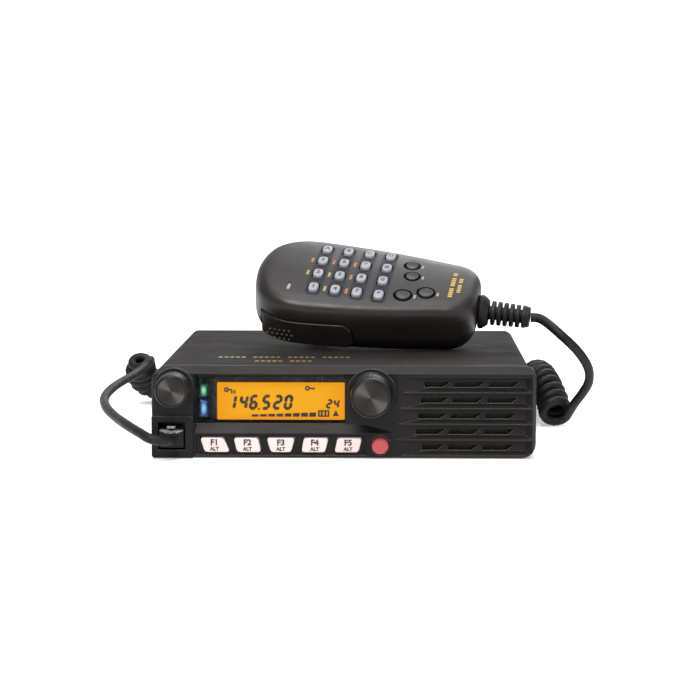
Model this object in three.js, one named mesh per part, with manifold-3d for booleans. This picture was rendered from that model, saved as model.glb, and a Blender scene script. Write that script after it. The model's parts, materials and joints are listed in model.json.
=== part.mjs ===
// Mobile transceiver: a low, wide radio with its hand microphone on the lid and a curly cord behind it.
// Millimetres, +Z up, +Y towards the rear. The model is laid out with Y = 0 on the front panel's face, and
// the whole group is then moved so that the origin is under the middle of the radio and microphone.
import * as THREE from "three";
import { mergeVertices } from "three/addons/utils/BufferGeometryUtils.js";
import Module from "manifold-3d";

const wasm = await Module();
wasm.setup();

// ---------------------------------------------------------------- driving dimensions
const GAP = 0.3; // between pieces that touch
const DEG = Math.PI / 180;

const panel = { width: 154, height: 37.3, depth: 14, floor: 0.4, wall: 2.4, face: 4.4 };
const chassis = { width: 151, depth: 150, front: 14.5, floor: 2.5, side: 3, split: 19.5, top: 35.4 };
const sinkFront = 128; // where the solid rear block begins
const lid = { thick: 1.2, front: 4.6, rear: 148, corner: 4, top: 37 };
const stepBehindBevel = { y: 4.3, z: 35.5 }; // where the lid laps over the panel

const windowBox = { x: -29.75, z: 23.4, width: 60.9, height: 18.8, y: 2, thick: 1.5 };
const display = { x: -25.4, z: 23, width: 51.3, height: 15, y: 4.7, thick: 4 };
const indicator = { x: -56.4, width: 2.9, greenZ: 27, greenHeight: 5, blueZ: 19.6, blueHeight: 6.6 };
const ledge = { x0: -59.8, x1: 22, z0: 10.4, z1: 13.6, depth: 2.4 };

const volume = { x: -67.9, z: 28.4, radius: 6.7, reach: 11, collar: 8.3 };
const dial = { x: 11.1, z: 26.4, radius: 8, skirt: 9, reach: 14.5, collar: 10 };
const shaftRadius = 3;

const keyRow = { x: -25.1, pitch: 13.45, z0: 2.7, z1: 8.4, width: 9.7, channelDepth: 1.2, proud: 0.6 };
// How far each key's left and right sides lean towards its foot.
const keySlant = [
  [1.8, 2.6],
  [1.4, 1.3],
  [1.6, -1.4],
  [-1, -1.3],
  [-1.3, -1.4],
];
const power = { x: 14.6, z: 5.4, radius: 3.4, collar: 4.3, proud: 1.4 };

const socketBlock = { x0: -77, x1: -60.3, z1: 17.1, proud: 1, mouth: [-74.4, -63.4, 3.6, 14.8] };
const plug = { x: -68.9, z: 8.4, width: 9.7, height: 6.6, front: 10.5, rear: -2.2, boot: 5.4 };

const grille = { x1: 75.3, depth: 2.2, z0: 1.2, pitch: 6.35, crest: 0.35, rise: 1.7 };
const grilleStarts = [23, 20.5, 21.5, 22.5, 24]; // the left end of each row, from the lowest up
const slot = { x: [27.6, 28, 28.7, 29.4, 30], length: 12.7, pitch: 13.9, height: 2.1, lean: 2, count: 3 };

const fan = { x: 26, z: 18.5, size: 30, depth: 10, y: 139.5, hub: 7, blades: 7 };
const antenna = { x: -48, z: 19, radius: 7.9, reach: 12.5, flange: 19, flangeThick: 2 };
const speakerJack = { x: -18, z: 12, radius: 4, reach: 3.5 };
const gland = { x: 58, z: 12, radius: 5.5, reach: 6 };
const speaker = { x: 52, z: 18.5, radius: 14.8, y: 5.2, depth: 14 };
const board = { thick: 1.6 };
const screw = { head: 2.6, reach: 1.1, shank: 1.4, length: 4.2, ys: [42, 116], z: 27 };

// Microphone, in its own frame: u along it from the top end to the cord end, v across it, w out of the keys.
const mic = { topU: -20, topV: 6.4, topR: 21, bulge: 41.5, endU: 42, endV: 6.4, endR: 13.5, belly: 1.5 };
const micShell = { wall: 2, crown: 0.003, split: -16.5 };
const micPose = { x: 2.2, y: 72, yaw: 8.1, tilt: 28.2, pitch: 5.9 }; // the keypad's middle, and degrees
const keyPitch = { u: 9.4, v: 10.15 };
const micKey = { u: 4.7, v: 6.2, corner: 1.5, proud: 1.3, clear: 0.35 };
const programKeys = [
  [24.2, -13, 3.8],
  [33.6, -9.6, 3.8],
  [25.8, 1.4, 3.4],
  [24.4, 10.1, 3.4],
]; // u, v, radius
const ptt = { u0: -35.5, u1: 3.4, top0: -11.4, top1: -10.6, foot: -21.6, proud: 0.6, inset: 3.2, clear: 0.6 };
const micBack = -26.4;
const stud = { u: -14, v: 3, radius: 6, neck: 4, rim: 2.4 };
const relief = { length: 22, base: 8, waist: 5, tip: 4.6, ribs: 6, w: -13 };

// Cord: diameter, and the curly part's outer diameter.
const cord = { diameter: 4.1, curl: 15 };

// ---------------------------------------------------------------- making solids
function solid(geometry) {
  const bare = geometry.index ? geometry.toNonIndexed() : geometry.clone();
  bare.deleteAttribute("normal");
  bare.deleteAttribute("uv");
  const merged = mergeVertices(bare, 1e-4);
  const triVerts = new Uint32Array(merged.index.array);
  const vertProperties = merged.attributes.position.array;
  return new wasm.Manifold(new wasm.Mesh({ numProp: 3, vertProperties, triVerts }));
}

function geometryOf(manifold) {
  const mesh = manifold.getMesh();
  const geometry = new THREE.BufferGeometry();
  geometry.setAttribute("position", new THREE.BufferAttribute(mesh.vertProperties, 3));
  geometry.setIndex(new THREE.BufferAttribute(mesh.triVerts, 1));
  const flat = geometry.toNonIndexed();
  flat.computeVertexNormals();
  return flat;
}

function join(...solids) {
  return solids.reduce((all, next) => all.add(next));
}

function cut(body, ...tools) {
  return tools.reduce((left, tool) => left.subtract(tool), body);
}

// A box from its two corners.
function block(x0, x1, y0, y1, z0, z1) {
  const geometry = new THREE.BoxGeometry(x1 - x0, y1 - y0, z1 - z0);
  return solid(geometry.translate((x0 + x1) / 2, (y0 + y1) / 2, (z0 + z1) / 2));
}

// A cylinder along Y, from y0 to y1.
function rodY(x, z, radius, y0, y1, sides = 32) {
  const geometry = new THREE.CylinderGeometry(radius, radius, y1 - y0, sides);
  return solid(geometry.translate(x, (y0 + y1) / 2, z));
}

function rodZ(x, y, radius, z0, z1, sides = 24) {
  const geometry = new THREE.CylinderGeometry(radius, radius, z1 - z0, sides);
  return solid(geometry.rotateX(Math.PI / 2).translate(x, y, (z0 + z1) / 2));
}

function outline(points) {
  return new THREE.Shape(points.map(([x, y]) => new THREE.Vector2(x, y)));
}

// A front-view outline (X, Z) made solid from y0 to y1.
function plate(shape, y0, y1, curveSegments = 8) {
  const geometry = new THREE.ExtrudeGeometry(shape, { depth: y1 - y0, bevelEnabled: false, curveSegments });
  return solid(geometry.rotateX(Math.PI / 2).translate(0, y1, 0));
}

// A side-view outline (Y, Z) made solid from x0 to x1.
function bar(shape, x0, x1) {
  const geometry = new THREE.ExtrudeGeometry(shape, { depth: x1 - x0, bevelEnabled: false });
  const turn = new THREE.Matrix4().makeBasis(
    new THREE.Vector3(0, 1, 0),
    new THREE.Vector3(0, 0, 1),
    new THREE.Vector3(1, 0, 0),
  );
  return solid(geometry.applyMatrix4(turn).translate(x0, 0, 0));
}

// A top-view outline (X, Y) made solid from z0 to z1.
function slab(shape, z0, z1, curveSegments = 8) {
  const geometry = new THREE.ExtrudeGeometry(shape, { depth: z1 - z0, bevelEnabled: false, curveSegments });
  return solid(geometry.translate(0, 0, z0));
}

// A turned piece about Y: the profile is [radius, y], from the axis at the front to the axis at the rear.
function turned(profile, x, z, sides = 32) {
  const points = profile.map(([radius, y]) => new THREE.Vector2(radius, y));
  return solid(new THREE.LatheGeometry(points, sides).translate(x, 0, z));
}

function roundedRect(x0, x1, y0, y1, [r00, r10, r11, r01]) {
  const shape = new THREE.Shape();
  shape.moveTo(x0 + r00, y0);
  shape.lineTo(x1 - r10, y0);
  shape.absarc(x1 - r10, y0 + r10, r10, -Math.PI / 2, 0, false);
  shape.lineTo(x1, y1 - r11);
  shape.absarc(x1 - r11, y1 - r11, r11, 0, Math.PI / 2, false);
  shape.lineTo(x0 + r01, y1);
  shape.absarc(x0 + r01, y1 - r01, r01, Math.PI / 2, Math.PI, false);
  shape.lineTo(x0, y0 + r00);
  shape.absarc(x0 + r00, y0 + r00, r00, Math.PI, 1.5 * Math.PI, false);
  return shape;
}

// ---------------------------------------------------------------- finishes
function finish(color, roughness, metalness = 0, opacity = 1) {
  return new THREE.MeshStandardMaterial({ color, roughness, metalness, opacity, transparent: opacity < 1 });
}

const finishes = {
  castBlack: finish(0x1b1a1a, 0.6, 0.2),
  lidBlack: finish(0x222121, 0.55, 0.1),
  panelBlack: finish(0x1e1c1c, 0.5),
  knobBlack: finish(0x1a1a1b, 0.35),
  micBlack: finish(0x1d1c1b, 0.6),
  rubberBlack: finish(0x131313, 0.8),
  keyWhite: finish(0xe9dcdc, 0.45),
  keyGrey: finish(0xa9b1bd, 0.5),
  red: finish(0xb43a3f, 0.4),
  amber: finish(0xffa61c, 0.3),
  green: finish(0x7ff0a0, 0.3),
  blue: finish(0x68c8ff, 0.3),
  smoked: finish(0x10110f, 0.1, 0, 0.35),
  boardGreen: finish(0x1f5a34, 0.5),
  steel: finish(0x9a9a9c, 0.35, 0.9),
  nickel: finish(0xc4c2bb, 0.3, 1),
  clear: finish(0x8a8a86, 0.2, 0, 0.5),
  dark: finish(0x0f0f10, 0.7),
};

const object = new THREE.Group();
const radio = new THREE.Group();
const microphone = new THREE.Group();
object.add(radio, microphone);

function add(group, name, body, material) {
  const mesh = new THREE.Mesh(geometryOf(body), material);
  mesh.name = name;
  group.add(mesh);
}

// ---------------------------------------------------------------- front panel
const halfPanel = panel.width / 2;

function keyOutline(index, widen = 0, heighten = widen) {
  const middle = keyRow.x + (index - 2) * keyRow.pitch;
  const [left, right] = keySlant[index];
  const half = keyRow.width / 2 + widen;
  const { z0, z1 } = keyRow;
  return outline([
    [middle - half + left / 2, z0 - heighten],
    [middle + half + right / 2, z0 - heighten],
    [middle + half - right / 2, z1 + heighten],
    [middle - half - left / 2, z1 + heighten],
  ]);
}

function slotOutline(x, z) {
  const { length, height, lean } = slot;
  return outline([
    [x, z],
    [x + length - lean - 1, z],
    [x + length, z + height],
    [x + 0.8, z + height],
  ]);
}

// Groove number row of the grille: a sloped sill, a recessed plane for the slots, and a flare at both ends.
function groove(row) {
  const low = grille.z0 + row * grille.pitch;
  const high = low + grille.pitch;
  const section = outline([
    [-1, low + grille.crest],
    [0, low + grille.crest],
    [grille.depth, low + grille.crest + grille.rise],
    [grille.depth, high - grille.crest - 0.6],
    [0, high - grille.crest],
    [-1, high - grille.crest],
  ]);
  const start = grilleStarts[row];
  const flare = outline([
    [start, -0.01],
    [start - 1, -1],
    [grille.x1 + 1, -1],
    [grille.x1, -0.01],
    [grille.x1 - 2.4, grille.depth + 0.01],
    [start + 11, grille.depth + 0.01],
  ]);
  return bar(section, start - 1, grille.x1 + 1).intersect(slab(flare, low, high));
}

function panelSlots() {
  const cuts = [];
  for (let row = 0; row < grilleStarts.length; row++) {
    const z = grille.z0 + row * grille.pitch + grille.crest + grille.rise + 0.25;
    for (let i = 0; i < slot.count; i++) {
      cuts.push(plate(slotOutline(slot.x[row] + i * slot.pitch, z), grille.depth - 0.5, panel.face + 1));
    }
  }
  return cuts;
}

function makeFrontPanel() {
  const { floor, height, depth } = panel;
  const face = roundedRect(-halfPanel, halfPanel, floor, height, [1.2, 6, 4.5, 7]);
  const sideView = outline([
    [-0.01, floor + 1],
    [0.9, floor - 0.01],
    [depth + 0.01, floor - 0.01],
    [depth + 0.01, stepBehindBevel.z],
    [stepBehindBevel.y, stepBehindBevel.z],
    [stepBehindBevel.y, height + 0.01],
    [3.1, height + 0.01],
    [-0.01, height - 2.9],
  ]);
  const topView = outline([
    [-halfPanel - 0.01, depth + 0.01],
    [-halfPanel - 0.01, 1],
    [-halfPanel + 0.8, -0.01],
    [halfPanel - 1.4, -0.01],
    [halfPanel + 0.01, 1.8],
    [halfPanel + 0.01, depth + 0.01],
  ]);
  let body = plate(face, 0, depth)
    .intersect(bar(sideView, -halfPanel - 1, halfPanel + 1))
    .intersect(slab(topView, -1, height + 1));

  // A raised collar round each knob, and the raised block that holds the microphone socket.
  const { x0, x1, z1, proud } = socketBlock;
  body = join(
    body,
    rodY(volume.x, volume.z, volume.collar, -1.2, 4, 40),
    rodY(dial.x, dial.z, dial.collar, -0.8, 4, 40),
    plate(roundedRect(x0, x1, floor, z1, [1.2, 0.3, 1.4, 0.3]), -proud, 3, 3),
    rodY(power.x, power.z, power.collar, -0.5, 2, 24),
  );

  // The hollow behind the face.
  const inner = panel.wall;
  body = cut(
    body,
    block(-halfPanel + inner, halfPanel - inner, panel.face, depth + 1, floor + 1.6, 34),
    rodY(power.x, power.z, power.radius + 0.8, panel.face, depth + 1, 24),
  );

  // The display's recess has a sloped ledge below it and runs on to the dial.
  const recess = outline([
    [-1, ledge.z0],
    [0, ledge.z0],
    [ledge.depth, ledge.z1],
    [ledge.depth, 33.4],
    [0, 34],
    [-1, 34],
  ]);
  const recessTop = outline([
    [ledge.x0 - 0.01, -1],
    [ledge.x1 + 1, -1],
    [ledge.x1, 0],
    [ledge.x1 - 14, ledge.depth + 0.01],
    [ledge.x0 + 0.9, ledge.depth + 0.01],
    [ledge.x0, 0],
  ]);
  const recessCut = cut(
    bar(recess, ledge.x0 - 1, ledge.x1 + 1).intersect(slab(recessTop, 0, 37)),
    rodY(dial.x, dial.z, dial.collar, -2, 5, 40),
    rodY(volume.x, volume.z, volume.collar, -2, 5, 40),
  );
  const w = windowBox;
  body = cut(
    body,
    recessCut,
    block(w.x - w.width / 2, w.x + w.width / 2, 0, 6, w.z - w.height / 2, w.z + w.height / 2),
  );

  // The keys' channel and openings, the power button's hole, the shafts' holes and the socket's mouth.
  const channel = roundedRect(-59.3, 9, 1.5, 9.7, [0.6, 0.6, 0.6, 0.6]);
  body = cut(body, plate(channel, -1, keyRow.channelDepth, 2));
  for (let i = 0; i < keySlant.length; i++) body = cut(body, plate(keyOutline(i, 0.35), 0, 6));
  body = cut(
    body,
    rodY(power.x, power.z, power.radius + 0.35, -2, 6, 24),
    rodY(volume.x, volume.z, shaftRadius + 1.4, -3, 6, 24),
    rodY(dial.x, dial.z, shaftRadius + 1.4, -3, 6, 24),
    block(socketBlock.mouth[0], socketBlock.mouth[1], -3, 8, socketBlock.mouth[2], socketBlock.mouth[3]),
    block(indicator.x - 2.6, indicator.x + 2.6, 1, 6, 15.2, 31),
  );

  for (let row = 0; row < grilleStarts.length; row++) body = cut(body, groove(row));
  return cut(body, ...panelSlots());
}

// ---------------------------------------------------------------- display, indicators, keys, knobs
function makeWindow() {
  const { x, z, width, height, y, thick } = windowBox;
  const left = x - width / 2 + GAP;
  const right = x + width / 2 - GAP;
  const foot = z - height / 2 + GAP;
  const head = z + height / 2 - GAP;
  return plate(roundedRect(left, right, foot, head, [1, 1, 1, 1]), y + 0.5, y + 0.5 + thick, 3);
}

function makeDisplay() {
  const { x, z, width, height, y, thick } = display;
  const glass = block(x - width / 2, x + width / 2, y, y + 1.4, z - height / 2, z + height / 2);
  return join(glass, block(x - width / 2 - 1.6, x + width / 2 + 1.6, y + 1.4, y + thick, z - 9, z + 9));
}

function makeIndicator(z, height) {
  const half = indicator.width / 2;
  return block(indicator.x - half, indicator.x + half, 4.4, 11.4, z - height / 2, z + height / 2);
}

// A hollow knob on its shaft, with a chamfered front and a skirt at the panel.
function makeKnob({ x, z, radius, skirt, reach }, base) {
  const bore = shaftRadius + GAP;
  return turned(
    [
      [0, -reach],
      [radius - 0.9, -reach],
      [radius, -reach + 0.8],
      [radius + 0.3, base - 3],
      [skirt, base - 2.2],
      [skirt, base],
      [radius - 1.6, base],
      [radius - 1.6, base - 4],
      [bore, base - 4],
      [bore, -reach + 4],
      [0, -reach + 4],
    ],
    x,
    z,
    40,
  );
}

// A control on its board: a square body, a threaded bush and a shaft that the knob turns on.
function makeControl({ x, z, reach }) {
  return join(
    block(x - 5.5, x + 5.5, 6, 11.6, z - 5.2, z + 5.2),
    rodY(x, z, shaftRadius + 0.9, 1, 6.2, 24),
    rodY(x, z, shaftRadius, -reach + 4 + GAP, 1.2, 24),
  );
}

function makeFunctionKey(index) {
  const front = keyRow.channelDepth - keyRow.proud - 1;
  const flange = plate(keyOutline(index, 0.9, 0), panel.face + 0.5, 6.2);
  return join(plate(keyOutline(index), front, 6.2), flange);
}

function makePowerButton() {
  const { x, z, radius, proud } = power;
  return turned(
    [
      [0, -proud],
      [radius - 1, -proud],
      [radius - 0.2, -proud + 0.5],
      [radius, -proud + 1.2],
      [radius, 5],
      [radius - 0.6, 6.4],
      [0, 6.4],
    ],
    x,
    z,
    28,
  );
}

function makeControlBoard() {
  return block(-73.5, 33, 12.2, 12.2 + board.thick, 3.4, 33.4);
}

function makeMicSocket() {
  const [x0, x1, z0, z1] = socketBlock.mouth;
  const body = block(x0 + 0.5, x1 - 0.5, 1.2, 11.7, z0 + 0.5, z1 - 0.5);
  const hollow = block(
    plug.x - plug.width / 2 - GAP,
    plug.x + plug.width / 2 + GAP,
    0,
    plug.front + GAP,
    plug.z - plug.height / 2 - GAP,
    plug.z + plug.height / 2 + 2.4,
  );
  return cut(body, hollow);
}

// The modular plug with its latch above and a short boot where the cord enters.
function makeMicPlug() {
  const { x, z, width, height, front, rear, boot } = plug;
  const latch = outline([
    [front - 1, z + height / 2 - 0.2],
    [front - 1.6, z + height / 2 + 0.9],
    [rear - 1.4, z + height / 2 + 1.9],
    [rear - 1.4, z + height / 2 + 1],
    [front - 3.4, z + height / 2 - 0.2],
  ].reverse());
  return join(
    block(x - width / 2, x + width / 2, rear, front, z - height / 2, z + height / 2),
    bar(latch, x - 1.6, x + 1.6),
    rodY(x, z, boot / 2, rear - 2.5, rear + 0.5, 16),
  );
}

// ---------------------------------------------------------------- chassis, lid and what they hold
function makeChassis() {
  const half = chassis.width / 2;
  const { front, depth, floor, side, split, top } = chassis;
  const inner = half - side;
  const upper = half - lid.thick - GAP;
  const underLid = join(
    block(-upper, -inner, front, depth, 0, top),
    block(inner, upper, front, depth, 0, top),
    block(-upper, upper, sinkFront, depth, 0, top),
  ).intersect(plate(roundedRect(-upper, upper, -1, top, [0.1, 0.1, 2.8, 2.8]), 0, depth + 1, 4));
  let body = join(
    underLid,
    block(-half, half, front, depth, 0, floor),
    block(-half, -inner, front, depth, 0, split),
    block(inner, half, front, depth, 0, split),
    block(-half, half, sinkFront, depth, 0, split),
  );
  // Four posts that the main board rests on.
  for (const x of [-64, 64]) for (const y of [26, 112]) body = body.add(rodZ(x, y, 3, 1, 9.7, 16));

  // Fins on the rear, left out behind the connectors and the fan.
  const plain = [[antenna.x, 11.5], [speakerJack.x, 6.5], [fan.x, 18], [gland.x, 8]];
  for (let x = -70; x <= 70; x += 5) {
    if (plain.some(([middle, reach]) => Math.abs(x - middle) < reach)) continue;
    body = cut(body, block(x - 1.25, x + 1.25, depth - 13, depth + 1, floor + 0.5, top + 1));
  }
  const room = fan.size / 2 + GAP;
  return cut(
    body,
    block(fan.x - room, fan.x + room, fan.y, depth + 1, fan.z - room, fan.z + room),
    rodY(fan.x, fan.z, 13, sinkFront - 1, depth, 32),
    rodY(antenna.x, antenna.z, antenna.radius + GAP, sinkFront - 1, depth + 1),
    rodY(speakerJack.x, speakerJack.z, speakerJack.radius + GAP, sinkFront - 1, depth + 1, 20),
    rodY(gland.x, gland.z, gland.radius - 1, sinkFront - 1, depth + 1, 20),
    ...screwPlaces().map(([sign, y]) => screwHole(sign, y)),
  );
}

function makeLid() {
  const half = chassis.width / 2;
  const { thick, corner, top, front, rear } = lid;
  const corners = [0.1, 0.1, corner, corner];
  const innerCorners = [0.1, 0.1, corner - 1, corner - 1];
  const foot = chassis.split + GAP;
  const outer = roundedRect(-half, half, foot, top, corners);
  const inner = roundedRect(-half + thick, half - thick, foot - 5, top - thick, innerCorners);
  const sheet = cut(plate(outer, front, rear, 6), plate(inner, front - 1, rear + 1, 6));
  // The sides start behind the front panel, which the top laps over.
  return cut(
    sheet,
    block(-half - 1, -half + corner, front - 1, panel.depth + GAP, 0, top - corner),
    block(half - corner, half + 1, front - 1, panel.depth + GAP, 0, top - corner),
    plate(roundedRect(-78, 78, 0, stepBehindBevel.z + GAP, [1, 1, 1, 1]), front - 1, panel.depth + GAP, 2),
    ...screwPlaces().map(([sign, y]) => screwHole(sign, y)),
  );
}

function screwPlaces() {
  return [-1, 1].flatMap((sign) => screw.ys.map((y) => [sign, y]));
}

function rodX(x0, x1, y, z, radius, sides) {
  const geometry = new THREE.CylinderGeometry(radius, radius, x1 - x0, sides);
  return solid(geometry.rotateZ(Math.PI / 2).translate((x0 + x1) / 2, y, z));
}

function screwHole(sign, y) {
  const outside = (chassis.width / 2 + 2) * sign;
  const inside = (chassis.width / 2 - screw.length - 1) * sign;
  return rodX(Math.min(inside, outside), Math.max(inside, outside), y, screw.z, screw.shank + GAP, 16);
}

function makeScrew([sign, y]) {
  const seat = (chassis.width / 2 + 0.05) * sign;
  const end = (chassis.width / 2 - screw.length) * sign;
  const crown = (chassis.width / 2 + screw.reach) * sign;
  return cut(
    join(
      rodX(Math.min(end, seat), Math.max(end, seat), y, screw.z, screw.shank, 12),
      rodX(Math.min(seat, crown), Math.max(seat, crown), y, screw.z, screw.head, 20),
    ),
    block(crown - 0.6, crown + 0.6, y - 1.7, y + 1.7, screw.z - 0.3, screw.z + 0.3),
    block(crown - 0.6, crown + 0.6, y - 0.3, y + 0.3, screw.z - 1.7, screw.z + 1.7),
  );
}

function makeSpeaker() {
  const { x, z, radius, y, depth } = speaker;
  return turned(
    [
      [0, y + 4.6],
      [3, y + 4],
      [radius - 3.6, y + 0.8],
      [radius - 2.2, y + 1.4],
      [radius - 1.6, y],
      [radius, y],
      [radius, y + 1.6],
      [radius - 5, y + depth - 5],
      [radius - 5, y + depth],
      [0, y + depth],
    ],
    x,
    z,
    32,
  );
}

function makeMainBoard() {
  return block(-70, 70, 22, 124, 10, 10 + board.thick);
}

function makePowerModule() {
  return join(block(-24, 36, 106, 121, floorTop(), 8.6), block(-20, 32, 109, 118, 8, 9.6));
}

function floorTop() {
  return chassis.floor + GAP;
}

function makeFanFrame() {
  const half = fan.size / 2;
  const back = fan.y + GAP;
  const body = block(fan.x - half, fan.x + half, back, fan.y + fan.depth, fan.z - half, fan.z + half);
  const spokes = join(
    block(fan.x - half + 0.5, fan.x + half - 0.5, back, back + 1.2, fan.z - 1, fan.z + 1),
    block(fan.x - 1, fan.x + 1, back, back + 1.2, fan.z - half + 0.5, fan.z + half - 0.5),
    rodY(fan.x, fan.z, fan.hub - 0.5, back, back + 1.2, 24),
    rodY(fan.x, fan.z, 1, back, back + 4, 12),
  );
  return join(cut(body, rodY(fan.x, fan.z, half - 1.2, back - 1, back + fan.depth + 1, 36)), spokes);
}

function makeFanRotor() {
  const front = fan.y + fan.depth - 0.4;
  const rear = fan.y + GAP + 1.6;
  let body = rodY(fan.x, fan.z, fan.hub, rear, front, 28);
  const reach = fan.size / 2 - 1.9;
  for (let i = 0; i < fan.blades; i++) {
    const blade = new THREE.BoxGeometry(reach - fan.hub + 1.5, 1, 6.4);
    blade.rotateX(38 * DEG).translate((reach + fan.hub - 1.5) / 2, (front + rear) / 2, 0);
    blade.rotateY((i * 2 * Math.PI) / fan.blades).translate(fan.x, 0, fan.z);
    body = body.add(solid(blade).intersect(rodY(fan.x, fan.z, reach, rear, front, 28)));
  }
  return cut(body, rodY(fan.x, fan.z, 1.3, rear - 1, rear + 3.2, 12));
}

function makeAntennaSocket() {
  const { x, z, radius, reach, flange, flangeThick } = antenna;
  const seat = chassis.depth + 0.05;
  const half = flange / 2;
  return cut(
    join(
      plate(roundedRect(x - half, x + half, z - half, z + half, [2, 2, 2, 2]), seat, seat + flangeThick, 3),
      rodY(x, z, radius, seat - 14, chassis.depth + reach),
    ),
    rodY(x, z, 1.95, chassis.depth + 2, chassis.depth + reach + 1, 16),
  );
}

function makeSpeakerJack() {
  const { x, z, radius, reach } = speakerJack;
  const body = join(
    rodY(x, z, radius, chassis.depth - 12, chassis.depth + reach, 24),
    rodY(x, z, radius + 1.6, chassis.depth + 0.05, chassis.depth + 1.6, 6),
  );
  return cut(body, rodY(x, z, 1.8, chassis.depth - 9, chassis.depth + reach + 1, 16));
}

function makeGland() {
  const { x, z, radius, reach } = gland;
  const seat = chassis.depth;
  const profile = [
    [0, seat - 10],
    [radius - 1.4, seat - 10],
    [radius - 1.4, seat + 0.05],
    [radius, seat + 0.05],
    [radius, seat + 2],
    [radius - 2, seat + reach],
    [0, seat + reach],
  ];
  return cut(turned(profile, x, z, 24), rodY(x, z, 1.9, seat - 4, seat + reach + 1, 16));
}

// ---------------------------------------------------------------- microphone
// The plan outline drawn in by inset: a bulging top end with two corners, and two corners at the cord end.
function micOutline(inset, steps = 9) {
  const { topU, topV, topR, bulge, endU, endV, endR } = mic;
  const span = Math.hypot(endU - topU, endV - topV);
  const lean = Math.atan2(endV - topV, endU - topU) + Math.acos((topR - endR) / span);
  const bulgeU = topU + Math.sqrt((bulge - topR) ** 2 - topV ** 2);
  const turn = Math.PI - Math.atan2(topV, bulgeU - topU);
  const arcs = [
    [endU, -endV, endR, -lean, 0, steps],
    [endU, endV, endR, 0, lean, steps],
    [topU, topV, topR, lean, turn, steps],
    [bulgeU, 0, bulge, turn, 2 * Math.PI - turn, 5],
    [topU, -topV, topR, 2 * Math.PI - turn, 2 * Math.PI - lean, steps],
  ];
  const points = arcs.flatMap(([u, v, radius, from, to, count]) =>
    Array.from({ length: count }, (_, i) => {
      const angle = from + ((to - from) * i) / (count - 1);
      return [u + (radius - inset) * Math.cos(angle), v + (radius - inset) * Math.sin(angle)];
    }),
  );
  // Where two arcs meet, their shared point is kept once.
  const single = points.filter(([u, v], i) => {
    const [u0, v0] = points[(i + points.length - 1) % points.length];
    return Math.hypot(u - u0, v - v0) > 0.01;
  });
  return swollen(single);
}

// The long sides get points of their own, and swell a little between the corners.
function swollen(points) {
  const dense = points.flatMap(([u, v], i) => {
    const [u1, v1] = points[(i + 1) % points.length];
    const pieces = Math.ceil(Math.hypot(u1 - u, v1 - v) / 9);
    const shares = Array.from({ length: pieces }, (_, k) => k / pieces);
    return shares.map((share) => [u + (u1 - u) * share, v + (v1 - v) * share]);
  });
  return dense.map(([u, v]) => {
    const share = Math.min(1, Math.max(0, (u - mic.topU) / (mic.endU - mic.topU)));
    return [u, v + Math.sign(v) * mic.belly * 4 * share * (1 - share)];
  });
}

function faceHeight(v) {
  return -micShell.crown * v * v;
}

// Stacks outlines into a closed body. Each level is [inset, height], and bend changes a height across v.
function loft(levels, bend, steps) {
  const ring = ([inset, height]) => micOutline(inset, steps).map(([u, v]) => [u, v, bend(v, height)]);
  const rings = levels.map(ring);
  const positions = [];
  const push = (...corners) => corners.forEach((corner) => positions.push(...corner));
  for (let level = 0; level + 1 < rings.length; level++) {
    const low = rings[level];
    const high = rings[level + 1];
    for (let i = 0; i < low.length; i++) {
      const next = (i + 1) % low.length;
      push(low[i], low[next], high[next]);
      push(low[i], high[next], high[i]);
    }
  }
  const cap = (rim, height, up) => {
    const middle = [8, 0, bend(0, height)];
    for (let i = 0; i < rim.length; i++) {
      const next = (i + 1) % rim.length;
      if (up) push(rim[i], rim[next], middle);
      else push(rim[next], rim[i], middle);
    }
  };
  cap(rings[0], levels[0][1], false);
  cap(rings[rings.length - 1], levels[levels.length - 1][1], true);
  const geometry = new THREE.BufferGeometry();
  geometry.setAttribute("position", new THREE.Float32BufferAttribute(positions, 3));
  const merged = mergeVertices(geometry, 1e-4);
  return solid(merged);
}

function unbent(v, height) {
  return height;
}

// The key face is crowned, and the crown fades out towards the seam.
function crowned(v, height) {
  return height + faceHeight(v) * (1 - height / micShell.split);
}

const frontLevels = [
  [0, micShell.split],
  [0, -11],
  [0.2, -6],
  [0.9, -3.2],
  [2.2, -1.4],
  [4, -0.5],
  [6.5, -0.1],
  [12, 0],
];
const frontHollow = [
  [micShell.wall, micShell.split - 1],
  [micShell.wall + 0.2, -5],
  [micShell.wall + 1, -3],
  [4.5, -micShell.wall],
];
const rearLevels = [
  [15, micBack],
  [10, micBack + 0.2],
  [6.5, -25.4],
  [3.6, -23.8],
  [1.4, -21.2],
  [0.3, -18.4],
  [0, micShell.split],
];
const rearHollow = [
  [10, -24],
  [6, -23.2],
  [micShell.wall + 1, -20.4],
  [micShell.wall, micShell.split + 1],
];

function keyPlate(u0, v0, w0, w1, growU, growV = growU) {
  const halfU = micKey.u / 2 + growU;
  const halfV = micKey.v / 2 + growV;
  const corners = [micKey.corner, micKey.corner, micKey.corner, micKey.corner];
  const shape = roundedRect(u0 - halfU, u0 + halfU, v0 - halfV, v0 + halfV, corners);
  return slab(shape, w0, w1, 2);
}

function keyCentre(column, row) {
  return [(column - 1.5) * keyPitch.u, (row - 1.5) * keyPitch.v];
}

// The push-to-talk bar's outline seen from the side, in u and w, grown by a clearance.
function pttSide(grow) {
  const { u0, u1, top0, top1, foot } = ptt;
  return outline([
    [u0 - grow, foot - grow],
    [u1 + grow, foot - grow],
    [u1 + 2 + grow, foot + 3],
    [u1 + 1 + grow, top1 - 2.6],
    [u1 - 2.4, top1 + grow],
    [u0 - grow, top0 + grow],
  ]);
}

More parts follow.
